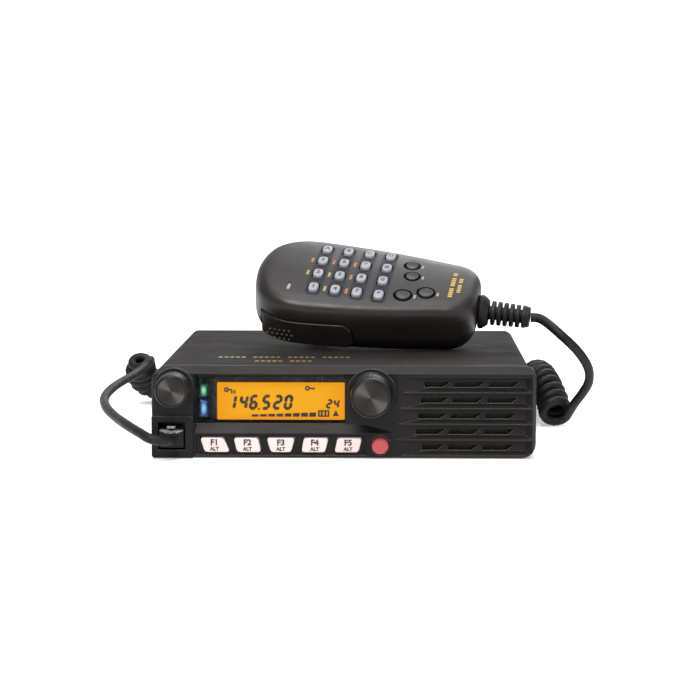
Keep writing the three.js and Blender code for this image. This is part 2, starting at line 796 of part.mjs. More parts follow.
// That outline made solid through the near side wall, between two insets of the plan.
function pttBlock(grow, outside, inside) {
  const reach = new THREE.ExtrudeGeometry(pttSide(grow), { depth: 40, bevelEnabled: false });
  const prism = solid(reach.rotateX(Math.PI / 2).translate(0, 0, 0));
  const ringOf = (inset) => slab(outline(micOutline(inset, 9)), -24, 0);
  return cut(prism.intersect(ringOf(-outside)), ringOf(inside)).intersect(block(-60, 20, -40, -4, -24, 0));
}

function makeMicFrontCase() {
  let body = cut(loft(frontLevels, crowned, 8), loft(frontHollow, crowned, 6));
  for (let column = 0; column < 4; column++) {
    for (let row = 0; row < 4; row++) {
      body = cut(body, keyPlate(...keyCentre(column, row), -6, 3, micKey.clear));
    }
  }
  for (const [u, v, radius] of programKeys) body = cut(body, rodZ(u, v, radius + micKey.clear, -6, 3, 18));
  const soundHole = slab(roundedRect(-25.6, -24, -18, -13.4, [0.7, 0.7, 0.7, 0.7]), -6, 2, 3);
  const reliefHole = rodU(mic.endU, mic.endU + 20, 4.7, 16);
  return cut(body, soundHole, pttBlock(ptt.clear, 6, ptt.inset + 2.4), reliefHole);
}

function rodU(u0, u1, radius, sides) {
  const geometry = new THREE.CylinderGeometry(radius, radius, u1 - u0, sides);
  return solid(geometry.rotateZ(Math.PI / 2).translate((u0 + u1) / 2, 0, relief.w));
}

function makeMicRearCase() {
  const tip = micBack - studLength();
  const hanger = join(
    rodZ(stud.u, stud.v, stud.neck, tip, micBack + 3, 20),
    rodZ(stud.u, stud.v, stud.radius, tip, tip + stud.rim, 24),
  );
  const below = block(-60, 80, -40, 40, -40, micShell.split - GAP);
  const shell = cut(loft(rearLevels, unbent, 8), loft(rearHollow, unbent, 6));
  const reliefHole = rodU(mic.endU, mic.endU + 20, 4.7, 16);
  return cut(join(shell, hanger).intersect(below), pttBlock(ptt.clear, 6, ptt.inset + 2.4), reliefHole);
}

function makeMicKey(column, row) {
  const [u, v] = keyCentre(column, row);
  const base = faceHeight(v);
  const flange = keyPlate(u, v, base - 5, base - 3.6, 0.8, 0);
  return join(keyPlate(u, v, base - 4.6, base + micKey.proud, 0), flange);
}

function makeProgramKey([u, v, radius]) {
  const top = faceHeight(v) + 0.9;
  return join(rodZ(u, v, radius, -3, top, 18), rodZ(u, v, 2, -5, -2, 10));
}

function makeMicBoard() {
  const plateBody = slab(roundedRect(-34, 44, -14, 14, [4, 4, 4, 4]), -8.6, -7.2, 3);
  return join(plateBody, rodZ(-26, 0, 4.6, -12, -8.4, 20));
}

// The cord's bend protector: a cone, ribs with gaps between them, and a cuff at its tip.
function makeStrainRelief() {
  const start = mic.endU + mic.endR + 0.2;
  const { length, base, waist, tip, ribs, w } = relief;
  const core = cord.diameter / 2 + 0.9;
  const profile = [[0, start - 4], [4.2, start - 4], [4.2, start], [base, start + 0.1]];
  profile.push([base - 1.8, start + 1.8], [waist, start + 4]);
  const first = start + 4.4;
  const step = (length - 4.4) / (ribs + 0.6);
  for (let i = 0; i < ribs; i++) {
    const radius = waist + ((tip - waist) * i) / (ribs - 1);
    const at = first + i * step;
    profile.push([core, at], [core, at + step * 0.35], [radius, at + step * 0.35], [radius, at + step]);
  }
  profile.push([tip - 0.4, start + length], [0, start + length]);
  const points = profile.map(([radius, u]) => new THREE.Vector2(radius, u));
  return solid(new THREE.LatheGeometry(points, 16).rotateZ(-Math.PI / 2).translate(0, 0, w));
}

// Third row of the microphone's turn: how far a point in its frame is above the middle of the keypad.
function heightOf([u, v, w]) {
  const tilt = micPose.tilt * DEG;
  const pitch = micPose.pitch * DEG;
  return -Math.sin(pitch) * u + Math.cos(pitch) * (Math.sin(tilt) * v + Math.cos(tilt) * w);
}

function lowestOfRearCase() {
  const heights = rearLevels.flatMap(([inset, height]) =>
    micOutline(inset).map(([u, v]) => heightOf([u, v, height])),
  );
  return Math.min(...heights);
}

// The hanger stud is as long as it takes for its rim to stand on the lid with the case's near edge.
function studLength() {
  const alongRim = stud.radius * Math.hypot(heightOf([1, 0, 0]), heightOf([0, 1, 0]));
  const foot = heightOf([stud.u, stud.v, micBack]) - alongRim;
  return (foot - lowestOfRearCase()) / heightOf([0, 0, 1]);
}

// ---------------------------------------------------------------- cords
// Routes are in the layout frame. The curly part's line runs from beside the radio round behind it.
const micTailRoute = [
  [92, 58.4, 43.4],
  [99, 61, 36.4],
  [103.6, 65.6, 29],
  [104.3, 71, 22.6],
  [102.2, 76.4, 17],
  [99.6, 80.8, 12.4],
  [97.4, 83.6, 9],
];
const curlRoute = [
  [91.6, 88.4, 5.9],
  [90.7, 94, 10.4],
  [89.1, 99.6, 14.6],
  [87.3, 107, 18.2],
  [85.8, 118, 19.6],
  [85.4, 130, 17],
  [85.4, 142, 12],
  [84.8, 154, 8.6],
  [79.8, 164.8, 7.7],
  [67, 171, 7.7],
  [45, 173.6, 7.7],
  [15, 174, 7.7],
  [-15, 174, 7.7],
  [-45, 174, 7.7],
  [-72, 173.8, 7.7],
  [-88, 171.4, 8],
  [-96.4, 166, 9.8],
  [-99.6, 159.6, 13.4],
  [-100, 153.6, 18],
  [-99.9, 149.4, 21.6],
];
const socketTailRoute = [
  [-93.6, 147.4, 25.8],
  [-93.4, 141.6, 24.4],
  [-95.4, 134, 21.4],
  [-99, 121, 19],
  [-102.4, 104, 18],
  [-104.5, 80, 17.2],
  [-104, 58, 16.4],
  [-100.4, 38, 15.4],
  [-94.6, 20, 14.3],
  [-87.6, 4, 13],
  [-81, -7, 11.4],
  [-75, -13.4, 9.4],
  [-70.4, -13.4, 8.5],
  [-68.9, -9.4, 8.4],
  [-68.9, -5.2, 8.4],
];

// The tail's first two points, straight out of the bend protector's tip.
function tailStart() {
  const tip = mic.endU + mic.endR + 0.2 + relief.length + GAP;
  const place = (u) => new THREE.Vector3(u, 0, relief.w).applyMatrix4(microphone.matrix).toArray();
  return [place(tip), place(tip + 4)];
}

function routeCurve(points) {
  const places = points.map(([x, y, z]) => new THREE.Vector3(x, y, z));
  return new THREE.CatmullRomCurve3(places, false, "centripetal");
}

function tube(points, radius, sides, steps) {
  const section = new THREE.Shape();
  for (let i = 0; i < sides; i++) {
    const angle = (2 * Math.PI * i) / sides;
    const place = [radius * Math.cos(angle), radius * Math.sin(angle)];
    if (i) section.lineTo(...place);
    else section.moveTo(...place);
  }
  const settings = { extrudePath: routeCurve(points), steps, bevelEnabled: false };
  return solid(new THREE.ExtrudeGeometry(section, settings));
}

// ---------------------------------------------------------------- assembly
add(radio, "chassis", makeChassis(), finishes.castBlack);
add(radio, "top_cover", makeLid(), finishes.lidBlack);
add(radio, "front_panel", makeFrontPanel(), finishes.panelBlack);
add(radio, "display_window", makeWindow(), finishes.smoked);
add(radio, "display_panel", makeDisplay(), finishes.amber);
add(radio, "indicator_green", makeIndicator(indicator.greenZ, indicator.greenHeight), finishes.green);
add(radio, "indicator_blue", makeIndicator(indicator.blueZ, indicator.blueHeight), finishes.blue);
add(radio, "volume_knob", makeKnob({ ...volume, skirt: volume.radius + 0.5 }, -1.5), finishes.knobBlack);
add(radio, "volume_control", makeControl(volume), finishes.steel);
add(radio, "dial_knob", makeKnob(dial, -1.1), finishes.knobBlack);
add(radio, "dial_encoder", makeControl(dial), finishes.steel);
keySlant.forEach((_, i) => add(radio, `function_key_${i + 1}`, makeFunctionKey(i), finishes.keyWhite));
add(radio, "power_button", makePowerButton(), finishes.red);
add(radio, "control_board", makeControlBoard(), finishes.boardGreen);
add(radio, "mic_socket", makeMicSocket(), finishes.dark);
add(radio, "speaker", makeSpeaker(), finishes.dark);
add(radio, "main_board", makeMainBoard(), finishes.boardGreen);
add(radio, "power_module", makePowerModule(), finishes.steel);
add(radio, "fan_frame", makeFanFrame(), finishes.dark);
add(radio, "fan_rotor", makeFanRotor(), finishes.dark);
add(radio, "antenna_socket", makeAntennaSocket(), finishes.nickel);
add(radio, "speaker_jack", makeSpeakerJack(), finishes.nickel);
add(radio, "dc_lead_gland", makeGland(), finishes.rubberBlack);
screwPlaces().forEach((place, i) => add(radio, `cover_screw_${i + 1}`, makeScrew(place), finishes.steel));
add(radio, "mic_plug", makeMicPlug(), finishes.clear);

add(microphone, "mic_front_case", makeMicFrontCase(), finishes.micBlack);
add(microphone, "mic_rear_case", makeMicRearCase(), finishes.micBlack);
const keyNames = [
  ["1", "2", "3", "a"],
  ["4", "5", "6", "b"],
  ["7", "8", "9", "c"],
  ["star", "0", "hash", "d"],
];
for (let column = 0; column < 4; column++) {
  for (let row = 0; row < 4; row++) {
    add(microphone, `mic_key_${keyNames[column][row]}`, makeMicKey(column, row), finishes.keyGrey);
  }
}
programKeys.forEach((place, i) => {
  add(microphone, `program_key_${i + 1}`, makeProgramKey(place), finishes.micBlack);
});
add(microphone, "ptt_bar", pttBlock(0, ptt.proud, ptt.inset), finishes.micBlack);
add(microphone, "mic_board", makeMicBoard(), finishes.boardGreen);
add(microphone, "mic_strain_relief", makeStrainRelief(), finishes.rubberBlack);

microphone.rotation.set(micPose.tilt * DEG, micPose.pitch * DEG, -micPose.yaw * DEG, "ZYX");
microphone.position.set(micPose.x, micPose.y, lid.top + GAP - lowestOfRearCase());
microphone.updateMatrix();
const micTail = tube([...tailStart(), ...micTailRoute], cord.diameter / 2, 8, 24);
add(radio, "cord_mic_tail", micTail, finishes.rubberBlack);
add(radio, "cord_curl", tube(curlRoute, cord.curl / 2, 10, 44), finishes.rubberBlack);
add(radio, "cord_socket_tail", tube(socketTailRoute, cord.diameter / 2, 8, 48), finishes.rubberBlack);

// The origin goes under the middle of everything but the cord.
const extent = new THREE.Box3();
object.updateMatrixWorld(true);
object.traverse((item) => {
  if (item.isMesh && !item.name.startsWith("cord_")) extent.expandByObject(item, true);
});
const middle = extent.getCenter(new THREE.Vector3());
object.position.set(-middle.x, -middle.y, -extent.min.z);

export default object;
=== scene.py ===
"""A vehicle radio with its hand microphone on the lid and a curly cord: its pieces, finishes and stage."""
import json
import math

import bmesh
import bpy
from mathutils import Euler, Matrix, Vector


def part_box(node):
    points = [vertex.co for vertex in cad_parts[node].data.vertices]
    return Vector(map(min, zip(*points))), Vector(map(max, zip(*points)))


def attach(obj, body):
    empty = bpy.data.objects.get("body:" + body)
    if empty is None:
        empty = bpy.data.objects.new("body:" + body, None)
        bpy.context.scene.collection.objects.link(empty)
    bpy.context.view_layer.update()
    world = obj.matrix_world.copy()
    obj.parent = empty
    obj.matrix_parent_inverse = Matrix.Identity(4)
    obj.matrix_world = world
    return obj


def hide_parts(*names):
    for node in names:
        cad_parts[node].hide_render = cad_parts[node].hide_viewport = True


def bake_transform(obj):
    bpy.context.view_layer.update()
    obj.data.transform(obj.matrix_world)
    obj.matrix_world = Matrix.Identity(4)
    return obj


bl_info = {
    "name": "Mobile transceiver",
    "version": (1, 0, 0),
    "blender": (4, 5, 0),
    "location": "View3D > Sidebar > Transceiver",
    "description": "Builds the visible pieces of a vehicle radio, its microphone and its curly cord",
    "category": "Object",
}

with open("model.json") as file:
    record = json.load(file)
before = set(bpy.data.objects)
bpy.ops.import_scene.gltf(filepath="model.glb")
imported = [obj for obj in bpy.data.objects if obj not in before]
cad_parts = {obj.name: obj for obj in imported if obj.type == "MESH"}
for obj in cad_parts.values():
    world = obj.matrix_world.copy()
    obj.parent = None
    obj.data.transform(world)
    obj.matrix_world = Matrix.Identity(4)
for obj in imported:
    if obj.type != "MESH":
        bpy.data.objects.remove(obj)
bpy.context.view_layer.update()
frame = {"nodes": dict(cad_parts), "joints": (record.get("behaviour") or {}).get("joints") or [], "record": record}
MM = 0.001

# ---------------------------------------------------------------- places
PANEL_LOW, PANEL_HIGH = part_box("front_panel")
CHASSIS_LOW, CHASSIS_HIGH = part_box("chassis")

# The radio is laid out in millimetres from the middle of its front panel's face, which is here in the frame.
MIDDLE_X = (PANEL_LOW.x + PANEL_HIGH.x) / 2
REAR_Y = CHASSIS_HIGH.y
CHASSIS_DEPTH = 150.0
LAYOUT = Vector((MIDDLE_X, REAR_Y - CHASSIS_DEPTH * MM, 0))


def at(x, y, z):
    """A point of the radio's layout, in metres in the frame."""
    return LAYOUT + Vector((x, y, z)) * MM


def box_mm(node):
    """A node's box in the radio's layout, in millimetres."""
    low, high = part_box(node)
    return (low - LAYOUT) / MM, (high - LAYOUT) / MM


def front_middle(node):
    """The middle of a node's box as drawn from the front, in millimetres."""
    low, high = box_mm(node)
    return (low.x + high.x) / 2, (low.z + high.z) / 2


# The microphone's own frame: u along it to the cord end, v across it, w out of the key face, in millimetres.
MIC_TILT, MIC_PITCH, MIC_YAW = 28.2, 5.9, 8.1
MIC_TURN = Euler([math.radians(a) for a in (MIC_TILT, MIC_PITCH, -MIC_YAW)]).to_matrix()
PTT_PIVOT = Vector((4.6, -22, -16))
PTT_JOINT = next(joint for joint in frame["joints"] if joint["name"] == "ptt_squeeze")
MIC_ORIGIN = Vector(PTT_JOINT["pos_m"]) - MIC_TURN @ PTT_PIVOT * MM
MIC_MATRIX = Matrix.Translation(MIC_ORIGIN) @ MIC_TURN.to_4x4() @ Matrix.Scale(MM, 4)
LAYOUT_MATRIX = Matrix.Translation(LAYOUT) @ Matrix.Scale(MM, 4)
# Stands a drawing up, so that its depth comes towards the viewer.
STANDING = Matrix(((1, 0, 0, 0), (0, 0, -1, 0), (0, 1, 0, 0), (0, 0, 0, 1)))
# Turns a drawing to face the microphone's cord end.
ENDWISE = Matrix(((0, 0, 1, 0), (1, 0, 0, 0), (0, 1, 0, 0), (0, 0, 0, 1)))
# A front view (x, z, depth towards the viewer) on the radio.
FRONT_MATRIX = LAYOUT_MATRIX @ STANDING


# ---------------------------------------------------------------- settings
def length(name, description, default):
    return bpy.props.FloatProperty(name=name, description=description, default=default, unit="LENGTH", min=0)


def count(name, description, default, least):
    return bpy.props.IntProperty(name=name, description=description, default=default, min=least)


def colour(name, description, default):
    return bpy.props.FloatVectorProperty(
        name=name, description=description, default=default, subtype="COLOR", size=3, min=0, max=1
    )


class TransceiverSizes(bpy.types.PropertyGroup):
    panel_edge: length("Panel edge", "Radius on the moulded panel's edges", 0.35 * MM)
    metal_edge: length("Metal edge", "Radius on the lid's and chassis' edges", 0.25 * MM)
    coil_diameter: length("Coil diameter", "Outside diameter of the curly part", 15 * MM)
    cord_diameter: length("Cord diameter", "Diameter of the cord itself", 4.1 * MM)
    cord_length: length("Cord length", "Length of the whole cord, pulled straight", 2.5)
    digit_height: length("Digit height", "Height of the display's large digits", 6.2 * MM)
    dot_pitch: length("Dot pitch", "Distance between the grip dots on the talk bar", 2.1 * MM)
    coil_turns: count("Coil turns", "Whole turns of the curly part", 65, 8)


class TransceiverColours(bpy.types.PropertyGroup):
    cast: colour("Chassis", "Painted cast metal", (0.009, 0.0085, 0.008))
    lid: colour("Lid", "Painted sheet metal", (0.013, 0.0115, 0.011))
    panel: colour("Panel", "Moulded front panel", (0.006, 0.0052, 0.0049))
    microphone: colour("Microphone", "Moulded microphone case", (0.0095, 0.008, 0.0073))
    rubber: colour("Rubber", "Cord and bend protector", (0.007, 0.0062, 0.006))
    knob: colour("Knobs", "Side of the knobs", (0.005, 0.0046, 0.0048))
    white_key: colour("Function keys", "Back-lit key caps", (0.47, 0.38, 0.37))
    grey_key: colour("Number keys", "Rubber keys of the microphone", (0.2, 0.205, 0.235))
    power: colour("Power button", "Red button", (0.4, 0.042, 0.048))
    amber: colour("Display", "Colour of the display's glass", (0.12, 0.035, 0.001))
    ink: colour("Display ink", "Dark segments of the display", (0.02, 0.004, 0.001))


def sizes():
    return bpy.context.scene.transceiver_sizes


def colours():
    return bpy.context.scene.transceiver_colours


# ---------------------------------------------------------------- finishes
class Nodes:
    """Helpers that add nodes to a tree, shared by the finishes and the Geometry Nodes trees."""

    def hold(self, tree):
        self.nodes, self.links = tree.nodes, tree.links

    def node(self, kind, settings=None, **inputs):
        """A node whose inputs are values or other nodes' outputs; _0 stands for its first input."""
        made = self.nodes.new(kind)
        for key, value in (settings or {}).items():
            setattr(made, key, value)
        for key, value in inputs.items():
            socket = made.inputs[int(key[1:])] if key[0] == "_" else made.inputs[key.replace("_", " ")]
            if isinstance(value, bpy.types.NodeSocket):
                self.links.new(value, socket)
            else:
                socket.default_value = value
        return made

    def math(self, operation, *values):
        inputs = {f"_{i}": value for i, value in enumerate(values)}
        return self.node("ShaderNodeMath", {"operation": operation}, **inputs).outputs[0]

    def vector_math(self, operation, *values):
        """The outputs of a vector operation: "Vector", and "Value" where the answer is one number."""
        inputs = {f"_{i}": value for i, value in enumerate(values)}
        return self.node("ShaderNodeVectorMath", {"operation": operation}, **inputs).outputs

    def xyz(self, **axes):
        return self.node("ShaderNodeCombineXYZ", **axes).outputs[0]

    def split(self, vector):
        """The X, Y and Z of a vector."""
        return self.node("ShaderNodeSeparateXYZ", Vector=vector).outputs


class Finish(Nodes):
    """A material under construction: its shader, and helpers that hang texture nodes on it."""

    def __init__(self, name, base, roughness, **shader):
        self.material = bpy.data.materials.new(name)
        self.material.use_nodes = True
        self.hold(self.material.node_tree)
        self.shader = self.nodes["Principled BSDF"]
        self.base = base
        self.shader.inputs["Base Color"].default_value = (*base, 1)
        self.shader.inputs["Roughness"].default_value = roughness
        for key, value in shader.items():
            self.shader.inputs[key.replace("_", " ")].default_value = value
        self.position = self.nodes.new("ShaderNodeTexCoord").outputs["Object"]
        self.height = None

    def drive(self, value, key):
        """Links a value to one of the shader's inputs."""
        self.links.new(value, self.shader.inputs[key])
        return self

    def noise(self, size, detail):
        """Noise whose features are about size metres across."""
        inputs = {"Vector": self.position, "Scale": 1 / size, "Detail": detail, "Roughness": 0.55}
        return self.node("ShaderNodeTexNoise", **inputs).outputs["Fac"]

    def spread(self, value, low, high, start=0.3, end=0.7):
        """Maps the texture values start..end onto low..high."""
        inputs = {"Value": value, "From Min": start, "From Max": end, "To Min": low, "To Max": high}
        return self.node("ShaderNodeMapRange", **inputs).outputs["Result"]

    def ramp(self, value, *stops):
        """The colour that a ramp gives for a value. Each stop is (place, colour), from low to high."""
        node = self.node("ShaderNodeValToRGB", Fac=value)
        elements = node.color_ramp.elements
        first, *between, last = stops
        for element, (place, tone) in zip(elements, (first, last)):
            element.position, element.color = place, (*tone, 1)
        for place, tone in between:
            elements.new(place).color = (*tone, 1)
        return node.outputs["Color"]

    def vary_roughness(self, value, low, high):
        return self.drive(self.spread(value, low, high), "Roughness")

    def vary_colour(self, value, darker, lighter):
        """Shades the base colour between two factors."""
        tones = [[min(1, channel * factor) for channel in self.base] for factor in (darker, lighter)]
        return self.drive(self.ramp(value, (0.3, tones[0]), (0.7, tones[1])), "Base Color")

    def painted_edge_highlight(self, radius, tone):
        """Paints a highlight into the base colour on the upper side of the edges, where light from above falls."""
        edge = self.node("ShaderNodeBevel", {"samples": 6}, Radius=radius).outputs["Normal"]
        face = self.node("ShaderNodeNewGeometry").outputs["True Normal"]
        curved = self.spread(self.vector_math("DOT_PRODUCT", edge, face)["Value"], 1, 0, 0.8, 0.985)
        upper = self.spread(self.split(edge)["Z"], 0, 1, 0.1, 0.5)
        under = self.shader.inputs["Base Color"].links[0].from_socket
        highlight_amount = self.math("MULTIPLY", curved, upper)
        mix = self.node("ShaderNodeMix", {"data_type": "RGBA"}, _0=highlight_amount, _6=under, _7=(*tone, 1))
        return self.drive(mix.outputs[2], "Base Color")

    def bump(self, value, depth, strength):
        """Adds a height of depth metres, on top of any bump already there."""
        below = {"Normal": self.height} if self.height else {}
        node = self.node("ShaderNodeBump", Height=value, Distance=depth, Strength=strength, **below)
        self.height = node.outputs["Normal"]
        return self.drive(self.height, "Normal")

    def across(self, node, half=None):
        """Places on a node's front, from -1 at its left and foot to 1 at its right and head."""
        low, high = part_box(node)
        centre = (low + high) / 2
        half = half or (high - low) / 2
        scale, shift = (1 / half.x, 0, 1 / half.z), (-centre.x / half.x, 0, -centre.z / half.z)
        return self.node("ShaderNodeMapping", Vector=self.position, Scale=scale, Location=shift).outputs[0]

    def glow(self, value, *stops):
        """Shines in the colours that a ramp gives for a value."""
        return self.drive(self.ramp(value, *stops), "Emission Color")


_finishes = {}


def finish(name):
    """The finish of that name, made once."""
    if name not in _finishes:
        _finishes[name] = FINISHES[name]().material
    return _finishes[name]


def surface(name, base, roughness, gloss=None, tone=None, grains=(), **shader):
    """A finish with patches of gloss (size, detail, smoothest, roughest) and of tone (size, detail, darkest,
    lightest), and with grains (size, detail, depth, strength) one on top of another."""
    made = Finish(name, base, roughness, **shader)
    if gloss:
        made.vary_roughness(made.noise(*gloss[:2]), *gloss[2:])
    if tone:
        made.vary_colour(made.noise(*tone[:2]), *tone[2:])
    for size, detail, depth, strength in grains:
        made.bump(made.noise(size, detail), depth, strength)
    return made


def moulded(name, base, roughness, grain=0.00035, depth=0.00003, gloss=0.22):
    """Moulded plastic: fine spark-eroded grain, soft gloss changes and faint cloudiness."""
    return surface(
        name, base, roughness, (0.012, 4, roughness - 0.06, roughness + 0.07), (0.03, 3, 0.88, 1.14),
        [(grain, 2, depth, 0.55)], Specular_IOR_Level=gloss,
    )


def panel_plastic():
    # The panel's upper edges get a painted highlight in their base colour.
    return moulded("panel_plastic", colours().panel, 0.42, gloss=0.14).painted_edge_highlight(0.35 * MM, (0.15, 0.138, 0.12))


def painted_cast():
    return surface(
        "painted_cast", colours().cast, 0.5, (0.008, 4, 0.42, 0.6), (0.025, 3, 0.85, 1.2),
        [(0.0012, 3, 0.00006, 0.4), (0.0003, 2, 0.00002, 0.5)], Specular_IOR_Level=0.15,
    )


def painted_lid():
    return surface(
        "painted_lid", colours().lid, 0.72, (0.02, 4, 0.66, 0.8), (0.05, 3, 0.86, 1.16),
        [(0.0005, 3, 0.00005, 0.5)], Specular_IOR_Level=0.07,
    )


def rubber():
    return surface(
        "black_rubber", colours().rubber, 0.5, (0.006, 3, 0.42, 0.58), (0.015, 3, 0.85, 1.25),
        [(0.0006, 3, 0.00004, 0.4)], Specular_IOR_Level=0.16,
    )


def rotation_about(made, centre):
    """The angle round a knob's axis and the distance from it, for a face that looks along Y."""
    shift = [-value for value in centre]
    place = made.split(made.node("ShaderNodeMapping", Vector=made.position, Location=shift).outputs[0])
    flat = made.xyz(X=place["X"], Y=place["Z"])
    return made.math("ARCTAN2", place["Z"], place["X"]), made.vector_math("LENGTH", flat)["Value"]


FAN_TURN = 1.35  # twice the angle, in radians, that the fans of light are turned by
GROOVE_PITCH = 0.22 * MM


def spun_face(name, node):
    """A disc turned on a lathe: fine circular grooves, with two opposed fans of painted highlight in its base
    colour across them.
    """
    made = Finish(name, (0.05, 0.05, 0.05), 0.34, Metallic=0.8)
    angle, distance = rotation_about(made, knob_centre(node))
    # The fans of light are a painted highlight: the base colour is lighter along them.
    fan = made.spread(made.math("COSINE", made.math("MULTIPLY_ADD", angle, 2, FAN_TURN)), 0, 1, -1, 1)
    stops = (0.0, (0.014, 0.0125, 0.012)), (0.72, (0.022, 0.02, 0.0195)), (1.0, (0.065, 0.061, 0.06))
    made.drive(made.ramp(fan, *stops), "Base Color")
    groove = made.math("SINE", made.math("MULTIPLY", distance, 2 * math.pi / GROOVE_PITCH))
    return made.bump(groove, 0.000006, 0.35)


def knob_side():
    return surface(
        "knob_side", colours().knob, 0.34, (0.006, 3, 0.28, 0.42), (0.01, 3, 0.9, 1.2),
        [(0.0003, 2, 0.00001, 0.5)], Specular_IOR_Level=0.2,
    )


def white_key():
    return surface(
        "white_key", colours().white_key, 0.4, (0.004, 3, 0.34, 0.48), (0.012, 2, 0.93, 1.05),
        [(0.0004, 2, 0.00001, 0.4)], Subsurface_Weight=0.15, Subsurface_Radius=(0.002, 0.0012, 0.001),
        Emission_Strength=0.12, Emission_Color=(1, 0.82, 0.8, 1),
    )


def grey_key():
    return surface(
        "grey_key", colours().grey_key, 0.45, (0.003, 3, 0.38, 0.55), (0.006, 3, 0.88, 1.1),
        [(0.0005, 2, 0.00002, 0.4)], Subsurface_Weight=0.2, Subsurface_Radius=(0.0012, 0.0014, 0.0018),
    )


def power_red():
    return surface(
        "power_red", colours().power, 0.36, (0.003, 3, 0.3, 0.44), (0.006, 2, 0.9, 1.12),
        Subsurface_Weight=0.15, Emission_Strength=0.05, Emission_Color=(1, 0.2, 0.2, 1),
    )


GLASS_HALF = Vector((25.65, 0, 7.5)) * MM  # half the width and height over which the display's light changes


def amber_glass():
    """The lit display: amber that deepens a little towards its rim."""
    made = Finish("amber_display", colours().amber, 0.3, Emission_Strength=0.85, Specular_IOR_Level=0.1)
    place = made.across("display_panel", GLASS_HALF)
    squares = made.split(made.vector_math("MULTIPLY", place, place)["Vector"])
    edge = made.math("MAXIMUM", squares["X"], squares["Z"])
    return made.glow(edge, (0.3, (1.0, 0.47, 0.003)), (1.0, (0.92, 0.37, 0.002)))


def lit_bar(name, node, rim, core):
    """A light pipe that is brightest in its middle and fades to its rim colour."""
    made = Finish(name, rim, 0.25, Emission_Strength=0.75)
    distance = made.vector_math("LENGTH", made.across(node))["Value"]
    return made.glow(distance, (0.2, core), (0.85, rim))


def window_acrylic():
    grains = [(0.01, 2, 0.00002, 0.1)]
    return surface("window_acrylic", (0.9, 0.9, 0.92), 0.03, grains=grains, Transmission_Weight=1.0, IOR=1.06)


def clear_plug():
    gloss = (0.002, 3, 0.08, 0.22)
    return surface("clear_plug", (0.4, 0.4, 0.38), 0.14, gloss, Transmission_Weight=0.5, IOR=1.45)


def metal(name, base, roughness):
    return surface(
        name, base, roughness, (0.003, 4, roughness - 0.06, roughness + 0.1), (0.006, 3, 0.85, 1.1),
        [(0.0004, 2, 0.000008, 0.5)], Metallic=1.0,
    )


def circuit_laminate():
    gloss, tone = (0.002, 3, 0.28, 0.5), (0.004, 4, 0.6, 1.4)
    return surface("circuit_laminate", (0.02, 0.11, 0.05), 0.35, gloss, tone, Coat_Weight=0.3)


def ink(name, base, roughness=0.6):
    return surface(name, base, roughness, tone=(0.0015, 2, 0.85, 1.1))


def speaker_cloth():
    tone, grains = (0.0006, 2, 0.5, 1.6), [(0.0008, 2, 0.0002, 0.6)]
    return surface("speaker_cloth", (0.006, 0.006, 0.006), 0.9, tone=tone, grains=grains)


FINISHES = {
    "cast": painted_cast,
    "lid": painted_lid,
    "panel": panel_plastic,
    "recess": lambda: moulded("recess_plastic", (0.006, 0.006, 0.0062), 0.3, 0.0006, 0.00001),
    "microphone": lambda: moulded("microphone_plastic", colours().microphone, 0.4, 0.0006, 0.00005, 0.3),
    "strip": lambda: moulded("key_strip_plastic", (0.006, 0.0062, 0.009), 0.5, 0.0006, 0.00003),
    "rubber": rubber,
    "knob": knob_side,
    "dial_face": lambda: spun_face("dial_face", "dial_knob"),
    "volume_face": lambda: spun_face("volume_face", "volume_knob"),
    "white_key": white_key,
    "grey_key": grey_key,
    "power": power_red,
    "amber": amber_glass,
    "green": lambda: lit_bar("green_bar", "indicator_green", (0.0, 0.04, 0.025), (0.35, 1.0, 0.58)),
    "blue": lambda: lit_bar("blue_bar", "indicator_blue", (0.0, 0.02, 0.1), (0.28, 0.72, 1.0)),
    "window": window_acrylic,
    "clear": clear_plug,
    "nickel": lambda: metal("nickel", (0.62, 0.6, 0.55), 0.26),
    "steel": lambda: metal("steel", (0.45, 0.45, 0.46), 0.35),
    "black_screw": lambda: metal("black_screw", (0.05, 0.05, 0.05), 0.35),
    "gold": lambda: metal("gold_ink", (0.42, 0.28, 0.1), 0.45),
    "board": circuit_laminate,
    "display_ink": lambda: ink("display_ink", colours().ink, 0.5),
    "key_ink": lambda: ink("key_ink", (0.022, 0.015, 0.016)),
    "white_ink": lambda: ink("white_ink", (0.24, 0.24, 0.23)),
    "orange_ink": lambda: ink("orange_ink", (0.32, 0.12, 0.06)),
    "yellow_ink": lambda: ink("yellow_ink", (0.3, 0.22, 0.07)),
    "dark": lambda: moulded("dark_plastic", (0.01, 0.01, 0.01), 0.45),
    "socket": lambda: moulded("socket_plastic", (0.02, 0.0175, 0.0165), 0.5, gloss=0.3),
    # Grip dots in a lighter, brownish tint.
    "grip": lambda: moulded("tinted_grip_dots", (0.075, 0.06, 0.035), 0.4, gloss=0.5),
    "cloth": speaker_cloth,
}


# ---------------------------------------------------------------- shapes
def new_piece(name, mesh, body, finish_name=None):
    """Links a mesh as a piece that rides on a body."""
    piece = bpy.data.objects.new(name, mesh)
    bpy.context.scene.collection.objects.link(piece)
    if finish_name:
        mesh.materials.clear()
        mesh.materials.append(finish(finish_name))
    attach(piece, body)
    return piece


def smooth(mesh, angle=35):
    """Smooth shading, kept sharp where two faces meet at more than angle degrees."""
    mesh.polygons.foreach_set("use_smooth", [True] * len(mesh.polygons))
    mesh.set_sharp_from_angle(angle=math.radians(angle))
    return mesh


def mesh_of(name, points, faces, matrix=LAYOUT_MATRIX):
    """A closed mesh from points in millimetres, with its faces turned outwards."""
    mesh = bpy.data.meshes.new(name)
    mesh.from_pydata([matrix @ Vector(point) for point in points], [], faces)
    builder = bmesh.new()
    builder.from_mesh(mesh)
    bmesh.ops.remove_doubles(builder, verts=builder.verts, dist=1e-7)
    bmesh.ops.recalc_face_normals(builder, faces=builder.faces)
    builder.to_mesh(mesh)
    builder.free()
    return mesh


